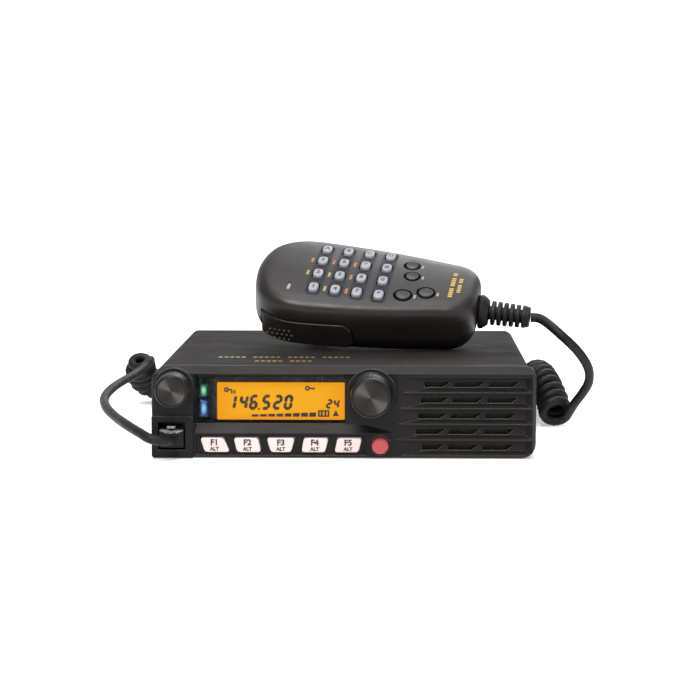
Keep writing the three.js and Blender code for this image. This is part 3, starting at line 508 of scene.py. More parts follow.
def settled(piece):
    """The piece's mesh with its modifiers worked in."""
    bpy.context.view_layer.update()
    evaluated = piece.evaluated_get(bpy.context.evaluated_depsgraph_get())
    return bpy.data.meshes.new_from_object(evaluated)


def finished(carrier):
    """Works a loose object's modifiers into a plain mesh, and removes the object."""
    mesh = settled(carrier)
    bpy.data.objects.remove(carrier)
    return mesh


def carry(mesh):
    """A loose object that carries modifiers for a mesh."""
    carrier = bpy.data.objects.new("work", mesh)
    bpy.context.scene.collection.objects.link(carrier)
    return carrier


def softened(node, edge, segments=2, angle=30):
    """A copy of a CAD node's mesh with small radii on its edges."""
    mesh = frame["nodes"][node].data.copy()
    builder = bmesh.new()
    builder.from_mesh(mesh)
    bmesh.ops.remove_doubles(builder, verts=builder.verts, dist=2e-6)
    bmesh.ops.dissolve_limit(builder, angle_limit=math.radians(0.6), verts=builder.verts, edges=builder.edges)
    bmesh.ops.triangulate(builder, faces=builder.faces)
    builder.to_mesh(mesh)
    builder.free()
    mesh.polygons.foreach_set("use_smooth", [True] * len(mesh.polygons))
    carrier = carry(mesh)
    bevel = carrier.modifiers.new("edges", "BEVEL")
    bevel.width = edge
    bevel.segments = segments
    bevel.limit_method = "ANGLE"
    bevel.angle_limit = math.radians(angle)
    bevel.miter_outer = "MITER_ARC"
    bevel.use_clamp_overlap = True
    weigh = carrier.modifiers.new("flat faces", "WEIGHTED_NORMAL")
    weigh.keep_sharp = True
    weigh.weight = 100
    return finished(carrier)


def stand_in(name, node, mesh, body, finish_name):
    """A detailed piece that is shown in place of a CAD node."""
    piece = new_piece(name, mesh, body, finish_name)
    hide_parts(node)
    return piece


def turned(name, profile, centre, axis_matrix, segments=96, flutes=None):
    """A turned piece: profile is [radius, along], and flutes(angle, radius, along) may change a radius."""
    points, faces = [], []
    count = len(profile)
    for step in range(segments):
        angle = 2 * math.pi * step / segments
        for radius, along in profile:
            reach = flutes(angle, radius, along) if flutes else radius
            points.append((centre[0] + reach * math.cos(angle), centre[1] + reach * math.sin(angle), along))
    for step in range(segments):
        here, beyond = step * count, (step + 1) % segments * count
        for i in range(count - 1):
            faces.append((here + i, beyond + i, beyond + i + 1, here + i + 1))
    if profile[0][0] > 1e-6 and profile[0] != profile[-1]:
        faces.append([step * count for step in range(segments)])
        faces.append([step * count + count - 1 for step in range(segments)])
    return mesh_of(name, points, faces, axis_matrix)


def circle(x, y, radius, steps=40):
    """The outline of a circle."""
    angles = [2 * math.pi * i / steps for i in range(steps)]
    return [(x + radius * math.cos(angle), y + radius * math.sin(angle)) for angle in angles]


def band(first, second, count):
    """The faces between two rings of count points, each ring given by the number of its first point."""
    return [(first + i, first + (i + 1) % count, second + (i + 1) % count, second + i) for i in range(count)]


def rounded(x0, x1, y0, y1, radius, steps=5):
    """The outline of a rectangle with round corners."""
    points = []
    for corner, (x, y) in enumerate(((x1, y1), (x0, y1), (x0, y0), (x1, y0))):
        cx = x - radius if x == x1 else x + radius
        cy = y - radius if y == y1 else y + radius
        for step in range(steps + 1):
            angle = math.pi / 2 * (corner + step / steps)
            points.append((cx + radius * math.cos(angle), cy + radius * math.sin(angle)))
    return points


def rounded_polygon(corners, radius, steps=4):
    """A polygon's outline with its corners rounded."""
    points = []
    count = len(corners)
    for i, corner in enumerate(corners):
        here = Vector(corner)
        before, after = (Vector(corners[i - 1]) - here), (Vector(corners[(i + 1) % count]) - here)
        start, end = here + before.normalized() * radius, here + after.normalized() * radius
        for step in range(steps + 1):
            t = step / steps
            point = start * (1 - t) ** 2 + here * 2 * t * (1 - t) + end * t**2
            points.append((point.x, point.y))
    return points


def lettering(text, size, matrix, thickness=0.05, bold=0.0):
    """Raised generic lettering as a mesh, centred on the matrix's origin."""
    writing = bpy.data.curves.new("lettering", "FONT")
    writing.body = text
    writing.size = size
    writing.align_x = "CENTER"
    writing.align_y = "CENTER"
    writing.extrude = thickness / 2
    writing.offset = bold
    mesh = finished(carry(writing))
    mesh.transform(matrix)
    return mesh


def merged(name, meshes):
    """Several meshes as one, with one material."""
    builder = bmesh.new()
    for mesh in meshes:
        builder.from_mesh(mesh)
    result = bpy.data.meshes.new(name)
    builder.to_mesh(result)
    builder.free()
    return result


def carve(mesh, *groups):
    """Cuts closed meshes out of a mesh, one group after another. Cutters of one group don't touch."""
    for cutters in groups:
        tool = carry(merged("cutters", cutters))
        carrier = carry(mesh)
        cut = carrier.modifiers.new("cut", "BOOLEAN")
        cut.operation = "DIFFERENCE"
        cut.solver = "EXACT"
        cut.object = tool
        mesh = finished(carrier)
        bpy.data.objects.remove(tool)
    if len(mesh.polygons) < 10:
        raise RuntimeError("a carved mesh came out empty")
    return mesh


# ---------------------------------------------------------------- geometry nodes
class Tree(Nodes):
    """A Geometry Nodes tree with named inputs, built a node at a time."""

    def __init__(self, name, **inputs):
        self.group = bpy.data.node_groups.new(name, "GeometryNodeTree")
        self.hold(self.group)
        self.sockets = {}
        for key, value in inputs.items():
            kind = "NodeSocketInt" if isinstance(value, int) else "NodeSocketFloat"
            self.add_input(key, kind).default_value = value
        self.add_input("Material", "NodeSocketMaterial")
        self.group.interface.new_socket("Geometry", in_out="OUTPUT", socket_type="NodeSocketGeometry")
        self.input = self.nodes.new("NodeGroupInput")

    def add_input(self, key, kind):
        socket = self.group.interface.new_socket(key.replace("_", " "), in_out="INPUT", socket_type=kind)
        self.sockets[key] = socket.identifier
        return socket

    def given(self, key):
        return self.input.outputs[key.replace("_", " ")]

    def index(self):
        return self.node("GeometryNodeInputIndex").outputs[0]

    def position(self):
        """The X, Y and Z of each point."""
        return self.split(self.node("GeometryNodeInputPosition").outputs[0])

    def moved(self, geometry, **inputs):
        return self.node("GeometryNodeSetPosition", Geometry=geometry, **inputs).outputs[0]

    def on_points(self, points, instance, **inputs):
        made = self.node("GeometryNodeInstanceOnPoints", Points=points, Instance=instance, **inputs)
        return made.outputs[0]

    def line_of(self, count):
        """A row of points, one Pitch apart along X."""
        spacing = self.xyz(X=self.given("Pitch"))
        return self.node("GeometryNodeMeshLine", Count=self.given(count), Offset=spacing).outputs[0]

    def cube(self):
        return self.node("GeometryNodeMeshCube", Size=(1, 1, 1)).outputs[0]

    def real(self, geometry):
        return self.node("GeometryNodeRealizeInstances", Geometry=geometry).outputs[0]

    def close(self, geometry):
        """Ends the tree in Realize Instances and Set Material."""
        inputs = {"Geometry": self.real(geometry), "Material": self.given("Material")}
        painted = self.node("GeometryNodeSetMaterial", **inputs)
        self.node("NodeGroupOutput", Geometry=painted.outputs[0])
        return self

    def grown(self, matrix, finish_name, **values):
        """The tree's geometry as a plain mesh, in place."""
        carrier = carry(bpy.data.meshes.new(self.group.name))
        modifier = carrier.modifiers.new("grow", "NODES")
        modifier.node_group = self.group
        for key, value in values.items():
            modifier[self.sockets[key]] = value
        modifier[self.sockets["Material"]] = finish(finish_name)
        mesh = finished(carrier)
        mesh.transform(matrix)
        return mesh


def dot_field_tree():
    """Domed dots on a staggered grid, kept where they fall inside an ellipse."""
    tree = Tree("dot_field", Columns=7, Rows=5, Pitch=2.5, Radius=0.7, Half_width=8.0, Half_height=4.0)
    pitch, columns, rows = tree.given("Pitch"), tree.given("Columns"), tree.given("Rows")
    grid = tree.node(
        "GeometryNodeMeshGrid",
        Size_X=tree.math("MULTIPLY", pitch, tree.math("SUBTRACT", columns, 1.0)),
        Size_Y=tree.math("MULTIPLY", pitch, tree.math("SUBTRACT", rows, 1.0)),
        Vertices_X=columns,
        Vertices_Y=rows,
    )
    odd = tree.math("MODULO", tree.math("MODULO", tree.index(), rows), 2.0)
    step = tree.math("MULTIPLY", odd, tree.math("MULTIPLY", pitch, 0.5))
    staggered = tree.moved(grid.outputs["Mesh"], Offset=tree.xyz(X=step))
    place = tree.position()
    across = tree.math("DIVIDE", place["X"], tree.given("Half_width"))
    up = tree.math("DIVIDE", place["Y"], tree.given("Half_height"))
    reach = tree.math("ADD", tree.math("MULTIPLY", across, across), tree.math("MULTIPLY", up, up))
    inside = tree.node("FunctionNodeCompare", {"operation": "LESS_THAN"}, A=reach, B=1.0).outputs[0]
    dot = tree.node("GeometryNodeMeshUVSphere", Segments=12, Rings=6, Radius=tree.given("Radius"))
    return tree.close(tree.on_points(staggered, dot.outputs["Mesh"], Selection=inside, Scale=(1, 1, 0.55)))


def ring_guard_tree():
    """A wire guard: rings one inside the other, joined by straight spokes."""
    tree = Tree("ring_guard", Rings=4, Inner=4.0, Step=3.2, Wire=0.55, Spokes=4)
    inner, step = tree.given("Inner"), tree.given("Step")
    points = tree.node("GeometryNodeMeshLine", Count=tree.given("Rings")).outputs[0]
    radius = tree.math("ADD", inner, tree.math("MULTIPLY", tree.index(), step))
    circle = tree.node("GeometryNodeCurvePrimitiveCircle", Resolution=64, Radius=1.0).outputs["Curve"]
    rings = tree.on_points(tree.moved(points, Position=(0, 0, 0)), circle, Scale=radius)
    hub = tree.node("GeometryNodeMeshCircle", Vertices=tree.given("Spokes"), Radius=0.01).outputs[0]
    turn = tree.math("MULTIPLY", tree.math("DIVIDE", tree.index(), tree.given("Spokes")), 2 * math.pi)
    outer = tree.math("ADD", inner, tree.math("MULTIPLY", step, 3.0))
    ends = {"Start": tree.xyz(X=inner), "End": tree.xyz(X=outer)}
    line = tree.node("GeometryNodeCurvePrimitiveLine", **ends).outputs[0]
    both = tree.node("GeometryNodeJoinGeometry")
    for wires in (rings, tree.on_points(hub, line, Rotation=tree.xyz(Z=turn))):
        tree.links.new(wires, both.inputs[0])
    section = tree.node("GeometryNodeCurvePrimitiveCircle", Resolution=8, Radius=tree.given("Wire"))
    inputs = {"Curve": tree.real(both.outputs[0]), "Profile Curve": section.outputs["Curve"]}
    return tree.close(tree.node("GeometryNodeCurveToMesh", **inputs).outputs[0])


def level_bars_tree():
    """A row of leaning bars that grow taller along it."""
    tree = Tree("level_bars", Bars=8, Pitch=3.3, Width=2.7, First=0.5, Growth=0.18, Lean=0.15)
    tall = tree.math("ADD", tree.given("First"), tree.math("MULTIPLY", tree.index(), tree.given("Growth")))
    raised = tree.moved(tree.line_of("Bars"), Offset=tree.xyz(Y=tree.math("MULTIPLY", tall, 0.5)))
    size = tree.xyz(X=tree.given("Width"), Y=tall, Z=0.05)
    bars = tree.real(tree.on_points(raised, tree.cube(), Scale=size))
    slide = tree.math("MULTIPLY", tree.position()["Y"], tree.given("Lean"))
    return tree.close(tree.moved(bars, Offset=tree.xyz(X=slide)))


def dash_row_tree():
    """A row of short raised dashes, with a wider gap after every fifth one."""
    tree = Tree("dash_row", Dashes=20, Pitch=2.2, Length=1.5, Height=0.7)
    groups = tree.math("FLOOR", tree.math("DIVIDE", tree.index(), 5.0))
    gap = tree.xyz(X=tree.math("MULTIPLY", groups, tree.given("Pitch")))
    size = tree.xyz(X=tree.given("Length"), Y=tree.given("Height"), Z=0.06)
    return tree.close(tree.on_points(tree.moved(tree.line_of("Dashes"), Offset=gap), tree.cube(), Scale=size))


# ---------------------------------------------------------------- the cord's route
CORD_W = -13  # the height of the cord's end on the microphone, in its own frame
RELIEF_TIP = (78, 0, CORD_W)
MIC_TAIL = [
    (92, 58.4, 43.4), (99, 61, 36.4), (103.6, 65.6, 29),
    (104.3, 71, 22.6), (102.2, 76.4, 17), (99.6, 80.8, 12.4),
]
COIL_LINE = [
    (91.6, 88.4, 5.9), (90.7, 94, 10.4), (89.1, 99.6, 14.6), (87.3, 107, 18.2), (85.8, 118, 19.6),
    (85.4, 130, 17), (85.4, 142, 12), (84.8, 154, 8.6), (79.8, 164.8, 7.7), (67, 171, 7.7),
    (45, 173.6, 7.7), (15, 174, 7.7), (-15, 174, 7.7), (-45, 174, 7.7), (-72, 173.8, 7.7),
    (-88, 171.4, 8), (-96.4, 166, 9.8), (-99.6, 159.6, 13.4), (-100, 153.6, 18), (-99.9, 149.4, 21.6),
]
SOCKET_TAIL = [
    (-93.4, 141.6, 24.4), (-95.4, 134, 21.4), (-99, 121, 19), (-102.4, 104, 18),
    (-104.5, 80, 17.2), (-104, 58, 16.4), (-100.4, 38, 15.4), (-94.6, 20, 14.3), (-87.6, 4, 13),
    (-81, -7, 11.4), (-75, -13.4, 9.4), (-70.4, -13.4, 8.5), (-68.9, -9.4, 8.4), (-68.9, -5.2, 8.4),
]
CLEAR_ABOVE = 10.7 * MM  # the height on the plug where its dark clamp ends


def through(points, step):
    """Evenly spaced points on a smooth curve through the given ones."""
    points = [Vector(point) for point in points]
    padded = [2 * points[0] - points[1], *points, 2 * points[-1] - points[-2]]
    fine = []
    for p0, p1, p2, p3 in zip(padded, padded[1:], padded[2:], padded[3:]):
        knots = [0.0]
        for a, b in ((p0, p1), (p1, p2), (p2, p3)):
            knots.append(knots[-1] + math.sqrt((b - a).length))
        t0, t1, t2, t3 = knots
        for i in range(24):
            t = t1 + (t2 - t1) * i / 24
            a1 = p0 * ((t1 - t) / (t1 - t0)) + p1 * ((t - t0) / (t1 - t0))
            a2 = p1 * ((t2 - t) / (t2 - t1)) + p2 * ((t - t1) / (t2 - t1))
            a3 = p2 * ((t3 - t) / (t3 - t2)) + p3 * ((t - t2) / (t3 - t2))
            b1 = a1 * ((t2 - t) / (t2 - t0)) + a2 * ((t - t0) / (t2 - t0))
            b2 = a2 * ((t3 - t) / (t3 - t1)) + a3 * ((t - t1) / (t3 - t1))
            fine.append(b1 * ((t2 - t) / (t2 - t1)) + b2 * ((t - t1) / (t2 - t1)))
    fine.append(points[-1])
    travelled = [0.0]
    for a, b in zip(fine, fine[1:]):
        travelled.append(travelled[-1] + (b - a).length)
    count = max(2, round(travelled[-1] / step))
    even, at_index = [], 0
    for i in range(count + 1):
        goal = travelled[-1] * i / count
        while at_index < len(fine) - 2 and travelled[at_index + 1] < goal:
            at_index += 1
        span = travelled[at_index + 1] - travelled[at_index]
        share = (goal - travelled[at_index]) / span if span else 0
        even.append(fine[at_index].lerp(fine[at_index + 1], share))
    return even


def helix(line, radius, turns, per_turn=16):
    """Turns wound round a line, starting and ending on the side away from the radio's middle at its start."""
    points = []
    count = int(turns * per_turn)
    for i in range(count + 1):
        place = i / count * (len(line) - 1)
        low = min(int(place), len(line) - 2)
        centre = line[low].lerp(line[low + 1], place - low)
        near, far = line[max(low - 3, 0)], line[min(low + 4, len(line) - 1)]
        along = (far - near).normalized()
        upward = (Vector((0, 0, 1)) - along * along.z).normalized()
        side = along.cross(upward)
        angle = -2 * math.pi * i / per_turn
        points.append(centre + (side * math.cos(angle) + upward * math.sin(angle)) * radius)
    return points


def eased(path, bend, reach, rounds=30):
    """The path with the bend near one of its points rounded off, and less so further from it."""
    path = list(path)
    for _ in range(rounds):
        for i in range(bend - reach, bend + reach + 1):
            pull = 0.25 + 0.25 * math.cos(math.pi * (i - bend) / (reach + 1))
            path[i] = path[i].lerp((path[i - 1] + path[i + 1]) / 2, pull)
    return path


def cord_path():
    """The cord's whole centreline, in millimetres of the layout, from the microphone to its plug."""
    to_layout = LAYOUT_MATRIX.inverted() @ MIC_MATRIX
    tip = [to_layout @ (Vector(RELIEF_TIP) + Vector((along, 0, 0))) for along in (0, 4)]
    radius = (sizes().coil_diameter - sizes().cord_diameter) / 2 / MM
    coil = helix(through(COIL_LINE, 1.0), radius, sizes().coil_turns + 0.5)
    lead_in = through([*tip, *MIC_TAIL, *coil[:4]], 1.3)
    lead_out = through([*coil[-4:], *SOCKET_TAIL], 1.3)
    arrival = min(range(len(lead_in)), key=lambda i: (lead_in[i] - coil[0]).length)
    parting = min(range(len(lead_out)), key=lambda i: (lead_out[i] - coil[-1]).length)
    path = [*lead_in[:arrival], *coil, *lead_out[parting + 1 :]]
    return eased(eased(path, arrival + len(coil) - 1, 12), len(path) - 8, 6)


def tube_mesh(name, path, radius, sides=10):
    """A round tube swept along a path, closed at both ends."""
    points, faces = [], []
    normal = None
    for i, place in enumerate(path):
        along = (path[min(i + 1, len(path) - 1)] - path[max(i - 1, 0)]).normalized()
        if normal is None:
            normal = along.orthogonal().normalized()
        normal = (normal - along * normal.dot(along)).normalized()
        across = along.cross(normal)
        for side in range(sides):
            angle = 2 * math.pi * side / sides
            points.append(place + (normal * math.cos(angle) + across * math.sin(angle)) * radius)
    for i in range(len(path) - 1):
        faces += band(i * sides, (i + 1) * sides, sides)
    faces.append(list(range(sides)))
    faces.append([(len(path) - 1) * sides + side for side in range(sides)])
    return smooth(mesh_of(name, points, faces), 60)


class TRANSCEIVER_OT_stage(bpy.types.Operator):
    """Makes the camera, the lights and the pale floor"""

    bl_idname = "transceiver.stage"
    bl_label = "Stage"

    def execute(self, context):
        scene = context.scene
        camera_data = bpy.data.cameras.new("camera")
        camera_data.lens = 107.2
        camera_data.sensor_width = 36
        camera_data.clip_start = 0.01
        camera = bpy.data.objects.new("camera", camera_data)
        camera.location = at(20.3, -825.6, 134.4)
        camera.rotation_euler = (math.radians(90 - 6.25), 0, math.radians(1.23))
        scene.collection.objects.link(camera)
        scene.camera = camera
        self.add_light("key", (-0.25, -0.85, 1.0), 0.55, 20, (1.0, 0.985, 0.96))
        self.add_light("top", (0.0, -0.12, 1.3), 0.8, 11, (1.0, 1.0, 1.0))
        self.add_light("fill", (0.9, -0.9, 0.6), 0.9, 4, (0.97, 0.985, 1.0))
        self.add_light("rim", (0.3, 0.9, 0.9), 0.7, 6, (1.0, 1.0, 1.0))
        self.add_floor()
        world = bpy.data.worlds.new("studio")
        world.use_nodes = True
        background = world.node_tree.nodes["Background"]
        background.inputs["Color"].default_value = (0.95, 0.95, 0.95, 1)
        background.inputs["Strength"].default_value = 0.46
        scene.world = world
        scene.view_settings.view_transform = "Standard"
        return {"FINISHED"}

    @staticmethod
    def add_light(name, place, size, power, tint):
        data = bpy.data.lights.new(name, "AREA")
        data.energy = power
        data.size = size
        data.color = tint
        light = bpy.data.objects.new(name, data)
        light.location = place
        aim = Vector((0, 0, 0.02)) - Vector(place)
        light.rotation_euler = aim.to_track_quat("-Z", "Y").to_euler()
        bpy.context.scene.collection.objects.link(light)

    @staticmethod
    def add_floor():
        """A wide floor that curves up into a backdrop."""
        profile = [(-3.0, 0.0), (1.2, 0.0)]
        for angle in (0.3, 0.6, 0.9, 1.2, math.pi / 2):
            profile.append((1.2 + 1.2 * math.sin(angle), 1.2 * (1 - math.cos(angle))))
        profile.append((2.4, 3.5))
        points = [(x, y, z) for y, z in profile for x in (-4.0, 4.0)]
        faces = [(2 * i, 2 * i + 1, 2 * i + 3, 2 * i + 2) for i in range(len(profile) - 1)]
        mesh = bpy.data.meshes.new("floor")
        mesh.from_pydata(points, [], faces)
        mesh.polygons.foreach_set("use_smooth", [True] * len(mesh.polygons))
        glow = {"Emission_Strength": 0.3, "Emission_Color": (1, 1, 1, 1)}
        pale = surface("pale_floor", (0.9, 0.9, 0.9), 0.7, (0.5, 2, 0.65, 0.75), **glow)
        mesh.materials.append(pale.material)
        floor = bpy.data.objects.new("floor", mesh)
        bpy.context.scene.collection.objects.link(floor)


class TRANSCEIVER_OT_cord(bpy.types.Operator):
    """Winds the curly cord, lays its two tails and fits its clear plug"""

    bl_idname = "transceiver.cord"
    bl_label = "Curly cord"

    def execute(self, context):
        path = cord_path()
        radius = sizes().cord_diameter / 2 / MM
        mesh = tube_mesh("curly_cord", path, radius)
        cord = bpy.data.objects.new("curly_cord", mesh)
        context.scene.collection.objects.link(cord)
        mesh.materials.append(finish("rubber"))
        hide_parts("cord_mic_tail", "cord_curl", "cord_socket_tail")
        self.add_plug()
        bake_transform(cord)
        return {"FINISHED"}

    @staticmethod
    def add_plug():
        """The modular plug: its lower part holds the dark cord's clamp, and only its top looks clear."""
        mesh = softened("mic_plug", 0.15 * MM)
        plug = stand_in("modular_plug", "mic_plug", mesh, "radio", "clear")
        mesh.materials.append(finish("rubber"))
        for polygon in mesh.polygons:
            if polygon.center.z < CLEAR_ABOVE:
                polygon.material_index = 1
        return plug


# ---------------------------------------------------------------- plates and small drawings
def inset(shape, distance):
    """A closed outline moved inwards by a distance."""
    points = [Vector(point) for point in shape]
    area = sum(a.x * b.y - b.x * a.y for a, b in zip(points, points[1:] + points[:1]))
    turn = 1 if area > 0 else -1
    moved = []
    for i, here in enumerate(points):
        before = (here - points[i - 1]).normalized()
        after = (points[(i + 1) % len(points)] - here).normalized()
        inward = Vector((-before.y - after.y, before.x + after.x)) * turn
        if inward.length < 1e-6:
            inward = Vector((-before.y, before.x)) * turn
        inward.normalize()
        sharpness = max(0.35, inward.dot(Vector((-before.y, before.x)) * turn))
        moved.append(here + inward * distance / sharpness)
    return [(point.x, point.y) for point in moved]


def plate(name, shape, low, high, edge, matrix, steps=3, height=None):
    """A solid plate over an outline, with its upper rim rounded. height(x, y) can bend it."""
    levels = [(0.0, low), (0.0, high - edge)]
    if edge:
        for step in range(1, steps + 1):
            angle = math.pi / 2 * step / steps
            levels.append((edge * (1 - math.cos(angle)), high - edge * (1 - math.sin(angle))))
        # A narrow flat rim keeps the rounding's shading off the large face.
        levels.append((edge * 1.25, high))
    points, faces = [], []
    count = len(shape)
    for distance, z in levels:
        for x, y in inset(shape, distance) if distance else shape:
            points.append((x, y, z + (height(x, y) if height else 0)))
    for level in range(len(levels) - 1):
        faces += band(level * count, (level + 1) * count, count)
    faces.append(list(range(count)))
    faces.append([(len(levels) - 1) * count + i for i in range(count)])
    return smooth(mesh_of(name, points, faces, matrix), 50)


INK_PROUD = 0.06  # how far a printed shape stands out of the display, in millimetres


def inked(shape, front):
    """A flat dark shape on the display."""
    return plate("ink", shape, front, front + INK_PROUD, 0, FRONT_MATRIX)


def painted(parts):
    """One mesh from (mesh, finish name) pairs, each keeping its own finish."""
    builder = bmesh.new()
    names = []
    for mesh, finish_name in parts:
        if finish_name not in names:
            names.append(finish_name)
        mesh.polygons.foreach_set("material_index", [names.index(finish_name)] * len(mesh.polygons))
        builder.from_mesh(mesh)
    result = bpy.data.meshes.new("painted")
    builder.to_mesh(result)
    builder.free()
    for name in names:
        result.materials.append(finish(name))
    return result


# The strokes that each digit lights: t top, a and b upper left and right, m middle, d and e lower, g foot.
STROKES = {"0": "tabdeg", "1": "be", "2": "tbmdg", "4": "abme", "5": "tameg", "6": "tamdeg"}
STROKE_GAP = 0.08
DIGIT_LEAN = 0.17


def stroke_ends(width, height):
    """Both ends of each of the seven strokes, inside a digit of that width and height."""
    middle = height / 2
    return {
        "t": ((0, height), (width, height)),
        "a": ((0, middle), (0, height)),
        "b": ((width, middle), (width, height)),
        "m": ((0, middle), (width, middle)),
        "d": ((0, 0), (0, middle)),
        "e": ((width, 0), (width, middle)),
        "g": ((0, 0), (width, 0)),
    }


def digit(text, x, z, width, height, thick, front):
    """A seven-stroke digit that leans to the right, as small plates."""
    plates = []
    ends = stroke_ends(width - thick, height - thick)
    for key in STROKES[text]:
        (ax, az), (bx, bz) = ends[key]
        along = Vector((bx - ax, bz - az)).normalized()
        across = Vector((-along.y, along.x)) * thick / 2
        start = Vector((ax, az)) + along * STROKE_GAP
        end = Vector((bx, bz)) - along * STROKE_GAP
        tip = along * thick * 0.42
        corners = [start - tip * 0.2, start + across + tip * 0.6, end + across - tip * 0.6, end + tip * 0.2,
                   end - across - tip * 0.6, start - across + tip * 0.6]
        shape = [(x + thick / 2 + p.x + (p.y + thick / 2) * DIGIT_LEAN, z + thick / 2 + p.y) for p in corners]
        plates.append(inked(shape, front))
    return plates


def knob_centre(node):
    low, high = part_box(node)
    return ((low.x + high.x) / 2, low.y, (low.z + high.z) / 2)


# ---------------------------------------------------------------- the radio
class TRANSCEIVER_OT_body(bpy.types.Operator):
    """Makes the chassis, the lid and the printed marks on it"""

    bl_idname = "transceiver.body"
    bl_label = "Chassis and lid"

    def execute(self, context):
        edge = sizes().metal_edge
        stand_in("chassis_casting", "chassis", softened("chassis", edge), "radio", "cast")
        stand_in("lid", "top_cover", softened("top_cover", edge), "radio", "lid")
        top = box_mm("top_cover")[1].z
        rows = dash_row_tree()
        marks = [
            rows.grown(
                LAYOUT_MATRIX @ Matrix.Translation((x, y, top)), "gold",
                Dashes=dashes, Pitch=2.4, Length=1.6, Height=tall,
            )
            for x, y, dashes, tall in ((-52, 35.5, 20, 3.4), (-36, 21.5, 9, 3.0))
        ]
        new_piece("lid_marks", merged("lid_marks", marks), "radio", "gold")
        return {"FINISHED"}


class TRANSCEIVER_OT_panel(bpy.types.Operator):
    """Makes the moulded front panel with its grille, collars and speaker cloth"""

    bl_idname = "transceiver.panel"
    bl_label = "Front panel"

    def execute(self, context):
        mesh = softened("front_panel", sizes().panel_edge)
        stand_in("moulded_panel", "front_panel", mesh, "radio", "panel")
        cloth = plate("cloth", rounded(26, 72, 2.8, 32.6, 2), -4.75, -4.55, 0.1, FRONT_MATRIX, 2)
        new_piece("speaker_cloth", cloth, "radio", "cloth")
        self.add_collars()
        return {"FINISHED"}

    @staticmethod
    def add_collars():
        """A ring with short grooves round each knob."""
        for node, outer, depth, grooves, start, sweep in (
            ("volume_knob", 8.1, 1.2, 40, 0, 360),
            ("dial_knob", 9.8, 0.8, 60, 95, 150),
        ):
            x, z = front_middle(node)
            ribs = []
            for step in range(grooves):
                angle = math.radians(start + sweep * step / grooves)
                half = math.radians(sweep / grooves * 0.28)
                shape = [
                    (x + r * math.cos(a), z + r * math.sin(a))
                    for r, a in (
                        (outer - 1.0, angle - half),
                        (outer, angle - half),
                        (outer, angle + half),
                        (outer - 1.0, angle + half),
                    )
                ]
                ribs.append(plate("rib", shape, depth - 0.1, depth + 0.28, 0.08, FRONT_MATRIX, 1))
            new_piece(node.replace("knob", "collar_ribs"), merged("ribs", ribs), "radio", "panel")


